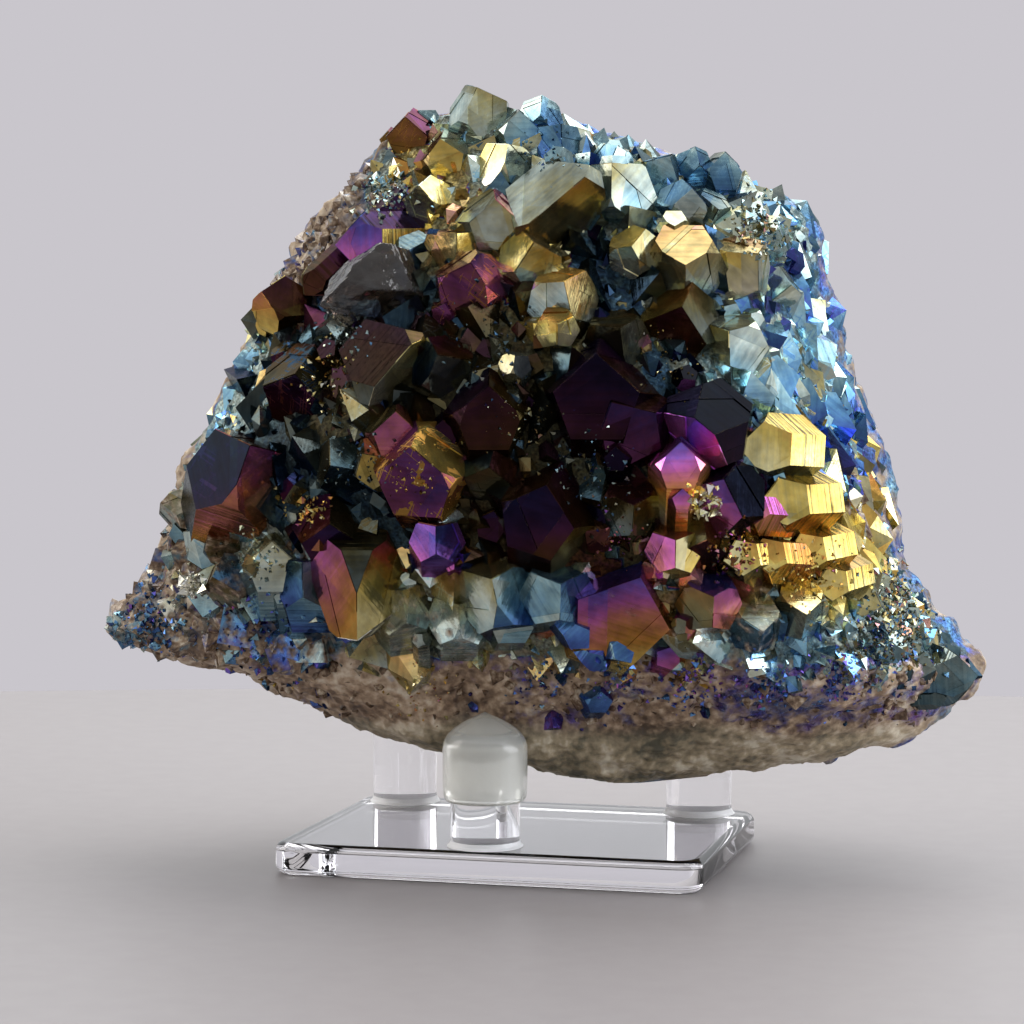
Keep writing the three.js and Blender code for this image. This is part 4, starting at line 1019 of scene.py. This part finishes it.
def druseCrystals(look):
    # places drawn over the crystal face, none under a larger crystal; size and hue by zone
    draw = np.random.default_rng(look["seed"])
    rise, around, points = scattered(look["tries"], rock["bandTop"] - look["under"], math.inf, draw)
    shares = zoneShares(points[:, 0], points[:, 2])
    pick = (shares.cumsum(axis=1) > draw.uniform(0, 1, len(shares))[:, None]).argmax(axis=1)
    zone = zoneTable[pick]
    spread, smallest, largest = look["sizes"]
    power = np.clip(draw.normal(0, spread, len(zone)), smallest, largest)
    widths = zone[:, 6] * np.exp(power) * look["broader"]
    apart = np.linalg.norm(points[:, None] - crystalSeats[None], axis=2)
    outside = (apart >= look["clear"] * crystalRows[:, 2]).all(axis=1)
    rise, around, points, zone, widths = only(outside, rise, around, points, zone, widths)
    kept = spacedOut(points, widths, look["packing"])
    rise, around, points, zone, widths = only(kept, rise, around, points, zone, widths)
    normals = bodyNormal(rise, around)
    prouds = widths * draw.uniform(*look["proud"], len(widths))
    axes = tilted(normals, look["lean"], draw)
    return smallCrystals(points - normals * look["sink"], axes, widths, prouds, draw,
                         zone[:, 3], zone[:, 4], zone[:, 5], zone[:, 7], zone[:, 8])


drusePoints, druseFaces, druseValues = druseCrystals(druse)
addPiece("small_crystals", toStand(drusePoints), druseFaces, filmOnCrystals, corner=druseValues)

# finer ones in the gaps between them
infill = dict(druse, tries=9000, packing=0.36, broader=0.60, sink=0.7, proud=(0.1, 0.55), lean=30, clear=0.1,
              seed=19)
infillPoints, infillFaces, infillValues = druseCrystals(infill)
addPiece("infill_crystals", toStand(infillPoints), infillFaces, filmOnCrystals, corner=infillValues)

# fine quartz over the rind: mostly bare and brown, some blue, violet or gold
brown = {
    "tries": 9000, "width": (0.15, 0.35), "packing": 0.42, "lean": 30, "proud": (0.2, 0.6), "sink": 0.6,
    "blue": 0.16, "coatedShare": 0.9, "bareShare": (0.0, 0.4), "spread": 0.03, "tones": (0.25, 0.9),
    "coats": [0.50, 0.55, 0.60, 0.64, 0.22], "odds": [0.25, 0.25, 0.25, 0.15, 0.10], "seed": 23,
}


def brownDruse():
    # a few are wholly coated, the rest take any share up to bareShare
    draw = np.random.default_rng(brown["seed"])
    rise, around, points = scattered(brown["tries"], rock["rindTop"], rock["bandTop"], draw)
    widths = np.exp(draw.normal(*brown["width"], len(points)))
    kept = spacedOut(points, widths, brown["packing"])
    rise, around, points, widths = only(kept, rise, around, points, widths)
    normals = bodyNormal(rise, around)
    some = len(points)
    blue = draw.uniform(0, 1, some) < brown["blue"]
    coated = np.where(blue, brown["coatedShare"], draw.uniform(*brown["bareShare"], some))
    coats = draw.choice(brown["coats"], some, p=brown["odds"])
    axes = tilted(normals, brown["lean"], draw)
    prouds = widths * draw.uniform(*brown["proud"], some)
    # painted shading of each crystal, drawn at random
    paintedShades = draw.uniform(*brown["tones"], some)
    return smallCrystals(points - normals * brown["sink"], axes, widths, prouds, draw, coats,
                         np.full(some, brown["spread"]), paintedShades, coated, np.full(some, 1.0))


brownPoints, brownFaces, brownValues = brownDruse()
addPiece("brown_druse", clearOfCaps(toStand(brownPoints)), brownFaces, filmOnDruse, corner=brownValues)

# Glittering crumbs of quartz in the hollows and on some facets: across, height, reach (mm), how
# many, coat, spread of coat, painted shading (above 1 a painted glint), size (mm).
glitter = {
    "leftGold": (-26, 68, 3.5, 100, 0.16, 0.06, 0.9, 0.5),
    "leftTeal": (-24, 74, 3.5, 60, 0.70, 0.05, 0.6, 0.5),
    "leftDeep": (-22, 57, 4, 90, 0.70, 0.06, 0.45, 0.45),
    "indigoRim": (-29, 51, 2.5, 90, 0.18, 0.06, 0.9, 0.6),
    "scratched": (-14, 55, 2.5, 60, 0.18, 0.05, 0.9, 0.4),
    "middleTop": (-4, 74, 6, 90, 0.70, 0.07, 0.35, 0.45),
    "middleOlive": (1, 62, 4, 80, 0.84, 0.06, 0.5, 0.45),
    "middleLow": (9, 56, 4.5, 100, 0.72, 0.1, 0.5, 0.45),
    "fireRim": (24, 52.5, 1.8, 80, 0.10, 0.06, 1.5, 0.8),
    "mauveGrains": (12.5, 46.5, 3, 70, 0.36, 0.12, 1.0, 0.35),
    "rightHollow": (28, 46, 3, 110, 0.25, 0.1, 0.8, 0.6),
    "goldLedge": (39, 42, 4, 120, 0.15, 0.06, 0.9, 0.6),
    "darkRound": (19, 71, 3.5, 60, 0.16, 0.05, 0.7, 0.4),
    "shoulder": (33, 89, 4, 220, 0.77, 0.08, 1.0, 0.7),
    "upperLeft": (-19, 94, 3, 180, 0.76, 0.06, 1.0, 0.6),
    "crown": (4, 99, 4, 60, 0.69, 0.06, 0.7, 0.5),
    "slope": (52, 36, 5, 420, 0.76, 0.1, 1.0, 0.7),
    "slopeLow": (48, 31, 5, 260, 0.72, 0.12, 0.9, 0.6),
    "leftSilver": (-36, 44, 3, 80, 0.75, 0.06, 1.0, 0.7),
    "leftMilky": (-46, 39.5, 1.7, 110, 0.03, 0.01, 1.2, 1.0),
    "leftTip": (-52, 34, 4, 180, 0.62, 0.05, 0.9, 0.6),
    "bandGold": (-14, 25, 4, 70, 0.18, 0.06, 0.8, 0.5),
    "bandOne": (3, 27, 3, 60, 0.58, 0.06, 1.1, 0.6),
    "bandTwo": (13, 27, 3, 80, 0.55, 0.06, 1.1, 0.6),
    "bandThree": (23, 27, 3.2, 110, 0.53, 0.06, 1.1, 0.6),
    "bandFour": (33, 27, 3.2, 110, 0.56, 0.06, 1.1, 0.6),
    "bandFive": (43, 28, 3.2, 110, 0.53, 0.05, 1.1, 0.6),
    "bandLeft": (-36, 33, 5, 130, 0.60, 0.06, 0.9, 0.6),
}
crumb = {
    "sides": 4, "height": (0.3, 0.8), "sunk": 0.15, "lean": 0.5, "start": 70.0, "scatter": 0.6,
    "sizes": 0.35, "uneven": (0.6, 1.3), "tones": (0.3, 1.4), "seed": 41,
}


def glitterCrumbs():
    # each crumb is a four-sided pyramid where a line drawn straight into the stone first meets it
    draw = np.random.default_rng(crumb["seed"])
    rows = np.array(list(glitter.values()))
    table = np.repeat(rows, rows[:, 3].astype(int), axis=0)
    spots = table[:, :2] + draw.normal(0, crumb["scatter"], (len(table), 2)) * table[:, 2:3]
    stone = [(rockPoints, rockFaces), (largePoints, largeFaces), (drusePoints, druseFaces)]
    solid, start = [], 0
    for points, faces in stone:
        solid += [[k + start for k in face] for face in faces]
        start += len(points)
    tree = BVHTree.FromPolygons(np.vstack([points for points, _ in stone]).tolist(), solid)
    hits = [tree.ray_cast((x, -crumb["start"], z), (0, 1, 0)) for x, z in spots]
    met = [k for k, hit in enumerate(hits) if hit[0] is not None]
    seats, normals = [np.array([hits[k][part] for k in met]) for part in (0, 1)]
    table = table[met]
    total, n = len(table), crumb["sides"]
    axes = unit(normals + draw.normal(0, crumb["lean"], (total, 3)))
    side = unit(np.cross(axes, draw.normal(0, 1, (total, 3))))
    over = np.cross(axes, side)
    size = table[:, 7] * np.exp(draw.normal(0, crumb["sizes"], total))
    turn = np.arange(n) / n * 2 * math.pi + draw.uniform(0, 6.28, (total, 1))
    x, y = [way(turn) * size[:, None] / 2 * draw.uniform(*crumb["uneven"], turn.shape)
            for way in (np.cos, np.sin)]
    base = seats[:, None] + x[..., None] * side[:, None] + y[..., None] * over[:, None]
    base = base - axes[:, None] * crumb["sunk"]
    tip = seats + axes * (size * draw.uniform(*crumb["height"], total))[:, None]
    points = np.concatenate([base, tip[:, None]], axis=1)
    loops = [[k, (k + 1) % n, n] for k in range(n)] + [list(range(n))[::-1]]
    lengths = [len(loop) for loop in loops]
    hue = np.repeat(draw.normal(0, 1, (total, n + 1)), lengths, axis=1)
    light = np.repeat(draw.uniform(*crumb["tones"], (total, n + 1)), lengths, axis=1)
    coat = np.mod(table[:, 4:5] + table[:, 5:6] * hue, 1.0)
    values = {"coat": coat.ravel(), "shade": (table[:, 6:7] * light).ravel(),
              "coated": np.ones(coat.size), "growth": np.zeros((coat.size, 3))}
    return points.reshape(-1, 3), repeated(loops, total), values


crumbPoints, crumbFaces, crumbValues = glitterCrumbs()
addPiece("glitter_crumbs", toStand(crumbPoints), crumbFaces, filmOnDruse, corner=crumbValues)

# the broken smoky crystal
chip = {
    "seat": (-20.5, 80.6), "size": (7.4, 4.2, 5.0), "out": 4.2, "lean": 24, "cuts": 14, "rings": 70,
    "steps": 110, "nearest": 0.72, "furthest": 1.25, "ripples": ((0.03, 0.25), (0.015, 0.1)), "seed": 3,
}


def closedLump(rings, steps):
    # directions on a sphere by rings and steps, one point at each pole, and the faces between
    down = np.linspace(0, math.pi, rings + 2)[1:-1]
    u, v = np.meshgrid(down, np.arange(steps) / steps * 2 * math.pi, indexing="ij")
    away = np.stack([np.sin(u) * np.cos(v), np.sin(u) * np.sin(v), np.cos(u)], axis=-1).reshape(-1, 3)
    away = np.vstack([away, [[0, 0, 1], [0, 0, -1]]])
    faces = [face[::-1] for face in gridFaces(rings, steps)]
    ring = np.arange(steps)
    faces += poleFaces(ring, rings * steps)
    faces += poleFaces((rings - 1) * steps + ring, rings * steps + 1, True)
    return away, faces


def brokenCrystal():
    # a lump whose reach in each direction is the nearest of several random flat cuts, with ripples
    draw = np.random.default_rng(chip["seed"])
    away, faces = closedLump(chip["rings"], chip["steps"])
    cuts = unit(draw.normal(0, 1, (chip["cuts"], 3)))
    reach = draw.uniform(chip["nearest"], 1.0, chip["cuts"])
    facing = away @ cuts.T
    distance = np.where(facing > 0.05, reach / np.maximum(facing, 0.05), 9).min(axis=1)
    distance = np.minimum(distance, chip["furthest"])
    for number, (depth, size) in enumerate(chip["ripples"]):
        distance = distance + depth * softNoise(away, size, 51 + number)
    lump = away * distance[:, None] * np.array(chip["size"])
    lean = math.radians(chip["lean"])
    x = lump[:, 0] * math.cos(lean) - lump[:, 2] * math.sin(lean)
    z = lump[:, 0] * math.sin(lean) + lump[:, 2] * math.cos(lean)
    seat = facePoint(np.array([chip["seat"][0]]), np.array([chip["seat"][1]]))[0]
    return np.stack([x, lump[:, 1], z], axis=-1) + seat - (0, chip["out"], 0), faces


chipPoints, chipFaces = brokenCrystal()
addPiece("smoky_chip", toStand(chipPoints), chipFaces, smokyQuartz)


def turned(profile, x, y, steps=96):
    # a profile of radius and height carried round an upright line; a radius of 0 makes one pole
    angle = np.arange(steps) / steps * 2 * math.pi
    k = np.arange(steps)
    after = (k + 1) % steps
    points, faces, starts = [], [], []
    for radius, height in profile:
        starts.append(sum(map(len, points)))
        ring = angle if radius > 1e-6 else angle[:1]
        across, along = x + radius * np.cos(ring), y + radius * np.sin(ring)
        points.append(np.stack([across, along, 0 * ring + height], axis=-1))
    for level, (low, high) in enumerate(zip(starts, starts[1:])):
        if len(points[level]) == 1:
            rim = [np.full(steps, low), high + after, high + k]
        elif len(points[level + 1]) == 1:
            rim = [low + k, low + after, np.full(steps, high)]
        else:
            rim = [low + k, low + after, high + after, high + k]
        faces += np.stack(rim, axis=-1).tolist()
    return np.vstack(points) * mm, faces


def rounded(profile, radius, steps=5):
    # each inner corner of a profile becomes a curve that starts and ends at the given reach from it
    points = [np.array(profile[0], float)]
    for before, here, there in zip(profile, profile[1:], profile[2:]):
        before, here, there = [np.array(p, float) for p in (before, here, there)]
        a, b = [here + (p - here) * min(radius / np.linalg.norm(p - here), 0.5) for p in (before, there)]
        points += [(1 - t) ** 2 * a + 2 * t * (1 - t) * here + t**2 * b for t in np.linspace(0, 1, steps)]
    points.append(np.array(profile[-1], float))
    return points


def roundedPlate(edgeSteps=9, cornerSteps=13):
    # a rounded rectangle whose outline is drawn in by the rounding of the edge, low and high
    quarter = np.radians(np.linspace(0, 90, edgeSteps))
    edge, thick = plate["edge"], plate["thickness"]
    rim = [(edge * (1 - math.sin(a)), edge * (1 - math.cos(a))) for a in quarter]
    rim += [(edge * (1 - math.cos(a)), thick - edge * (1 - math.sin(a))) for a in quarter]
    turns = np.radians(np.arange(4)[:, None] * 90 + np.linspace(0, 90, cornerSteps)).ravel()
    signX = np.repeat([1, -1, -1, 1], cornerSteps)
    signY = np.repeat([1, 1, -1, -1], cornerSteps)
    rings = []
    for inset, height in rim:
        radius = plate["corner"] - inset
        x = signX * (plate["length"] / 2 - plate["corner"]) + radius * np.cos(turns)
        y = signY * (plate["depth"] / 2 - plate["corner"]) + radius * np.sin(turns)
        rings.append(np.stack([x, y, np.full(len(turns), height)], axis=-1))
    points = np.concatenate(rings)
    faces = gridFaces(len(rim), len(turns))
    flats = [list(range(len(turns)))[::-1], list(range(len(points) - len(turns), len(points)))]
    return points * mm, faces + flats


platePoints, plateFaces = roundedPlate()
platePiece = addPiece("stand_plate", platePoints, plateFaces, castAcrylic, "stand_base",
                      smooth=True)
for flat in (-2, -1):
    platePiece.data.polygons[flat].use_smooth = False
for where, (x, y, height) in pegs.items():
    low, high = plate["thickness"] + peg["lift"], plate["thickness"] + height
    r, foot = peg["radius"], peg["radius"] + cement["gap"]
    rod = rounded([(0, low), (r, low), (r, high), (0, high)], peg["edge"])
    out, up = cement["waist"]
    seam = [(foot, low), (r + cement["foot"], low), (r + out, low + up), (foot, low + cement["rise"]),
            (foot, low)]
    bottom, outer, inner = capBottom(height), cap["radius"], r + cap["gap"] / 2
    top, ceiling = bottom + cap["height"], bottom + cap["bore"]
    out, up = cap["flare"]
    sleeve = [(0, ceiling), (inner, ceiling), (inner, bottom + cap["lip"]), (outer - out, bottom),
              (outer, bottom + up), (outer, bottom + cap["shoulder"]),
              (outer * cap["taper"], top - cap["crown"]), (0, top)]
    for kind, nodeName, profile, material, slotName in (
            ("peg_rod", "peg", rod, castAcrylic, "clear_acrylic"),
            ("peg_cement", "peg", rounded(seam, cement["soft"]), castCement, "clear_acrylic"),
            ("cap_sleeve", "cap", rounded(sleeve, cap["soft"], 7), milkySilicone, "milky_silicone")):
        points, faces = turned(profile, x, y)
        addPiece(f"{kind}_{where}", points, faces, material, f"{nodeName}_{where}", smooth=True)

# floor, light and camera
table = {"radius": 0.62, "middle": (0.08, -0.415), "steps": 180, "below": 0.00002}
tableAngle = np.arange(table["steps"]) / table["steps"] * 2 * math.pi
tablePoints = np.stack([table["middle"][0] + table["radius"] * np.cos(tableAngle),
                        table["middle"][1] + table["radius"] * np.sin(tableAngle),
                        np.full(table["steps"], -table["below"])], axis=-1)
tableMesh = bpy.data.meshes.new("pale_table")
tableMesh.from_pydata(tablePoints.tolist(), [], [list(range(table["steps"]))])
tableMesh.update()
# a soft sheen, with a faint grain a few millimetres across
paleTable = grained("painted table top, satin", 4, 2.0, [(0.3, "#888383"), (0.7, "#8B8686")], 0.45)
tableMesh.materials.append(paleTable)
tableTop = bpy.data.objects.new("pale_table", tableMesh)
bpy.context.scene.collection.objects.link(tableTop)

stoneMiddle = Vector((0, 0, 0.055))
# place (m), size (m), power (W), colour; the strips are seen only through the clear stand
lights = {
    "overhead softbox": ((0.10, 0.30, 0.60), (0.9, 0.6), 5.2, "#FFFFFF"),
    "right softbox": ((0.62, 0.02, 0.28), (0.5, 0.6), 3.6, "#F4F8FF"),
    "left softbox": ((-0.52, -0.10, 0.30), (0.30, 0.45), 1.6, "#FFF8F0"),
    "left strip": ((-0.27, 0.09, 0.06), (0.15, 0.12), 0.14, "#FFFFFF"),
    "right strip": ((0.19, 0.205, 0.06), (0.15, 0.12), 0.14, "#FFFFFF"),
}
for name, (place, size, power, colour) in lights.items():
    light = bpy.data.lights.new(name, "AREA")
    light.shape = "RECTANGLE"
    light.size, light.size_y = size
    light.energy = power
    light.color = linear(colour)[:3]
    lamp = bpy.data.objects.new(name, light)
    lamp.location = place
    lamp.rotation_euler = (stoneMiddle - Vector(place)).to_track_quat("-Z", "Y").to_euler()
    lamp.visible_camera = False
    lamp.visible_glossy = "strip" not in name
    lamp.visible_diffuse = "strip" not in name
    bpy.context.scene.collection.objects.link(lamp)

world = bpy.data.worlds.new("pale studio")
bpy.context.scene.world = world
world.use_nodes = True
world.node_tree.nodes.clear()
add = functools.partial(addNode, world.node_tree)
direction = add("TexCoord").outputs["Generated"]
toRight, toBack, toTop = add("SeparateXYZ", [direction]).outputs
# in reflections the room is brighter overhead and behind the stone, dim where the camera stands;
# seen directly or through the clear stand it is one pale tone
upward = add("MapRange", [toTop, -0.2, 0.9, 0.65, 1.0])
behind = add("MapRange", [toBack, -0.8, 0.9, 0.8, 1.2])
strength = add("Math", [upward, behind], operation="MULTIPLY")
gloom = add("Background", {"Color": linear("#F2F4F8"), "Strength": strength})
rays = add("LightPath").outputs
through = rays["Is Transmission Ray"]
# through the clear stand the sides of the room are brighter, which draws its white edges
sideways = add("Math", [toRight], operation="ABSOLUTE")
sideways = add("MapRange", [sideways, 0.5, 0.9, 0.0, 1.3])
tone = add("Math", [sideways, through, 1.0], operation="MULTIPLY_ADD")
plain = add("Background", {"Color": linear("#C9C6CC"), "Strength": tone})
seen = add("Math", [rays["Is Camera Ray"], through], operation="MAXIMUM")
mixed = add("MixShader", [seen, gloom, plain])
add("OutputWorld", [mixed])

view = {"place": (0.1031, -0.3970, 0.0738), "toward": (-0.2546, 0.967), "drop": 3.45, "lens": 102.4,
        "sensor": 36, "nearest": 0.01}
drop = math.radians(view["drop"])
cameraData = bpy.data.cameras.new("camera")
cameraData.lens = view["lens"]
cameraData.sensor_width = view["sensor"]
cameraData.clip_start = view["nearest"]
camera = bpy.data.objects.new("camera", cameraData)
camera.location = view["place"]
looking = Vector((view["toward"][0] * math.cos(drop), view["toward"][1] * math.cos(drop), -math.sin(drop)))
camera.rotation_euler = looking.to_track_quat("-Z", "Y").to_euler()
bpy.context.scene.collection.objects.link(camera)
bpy.context.scene.camera = camera
bpy.context.scene.view_settings.view_transform = "Standard"
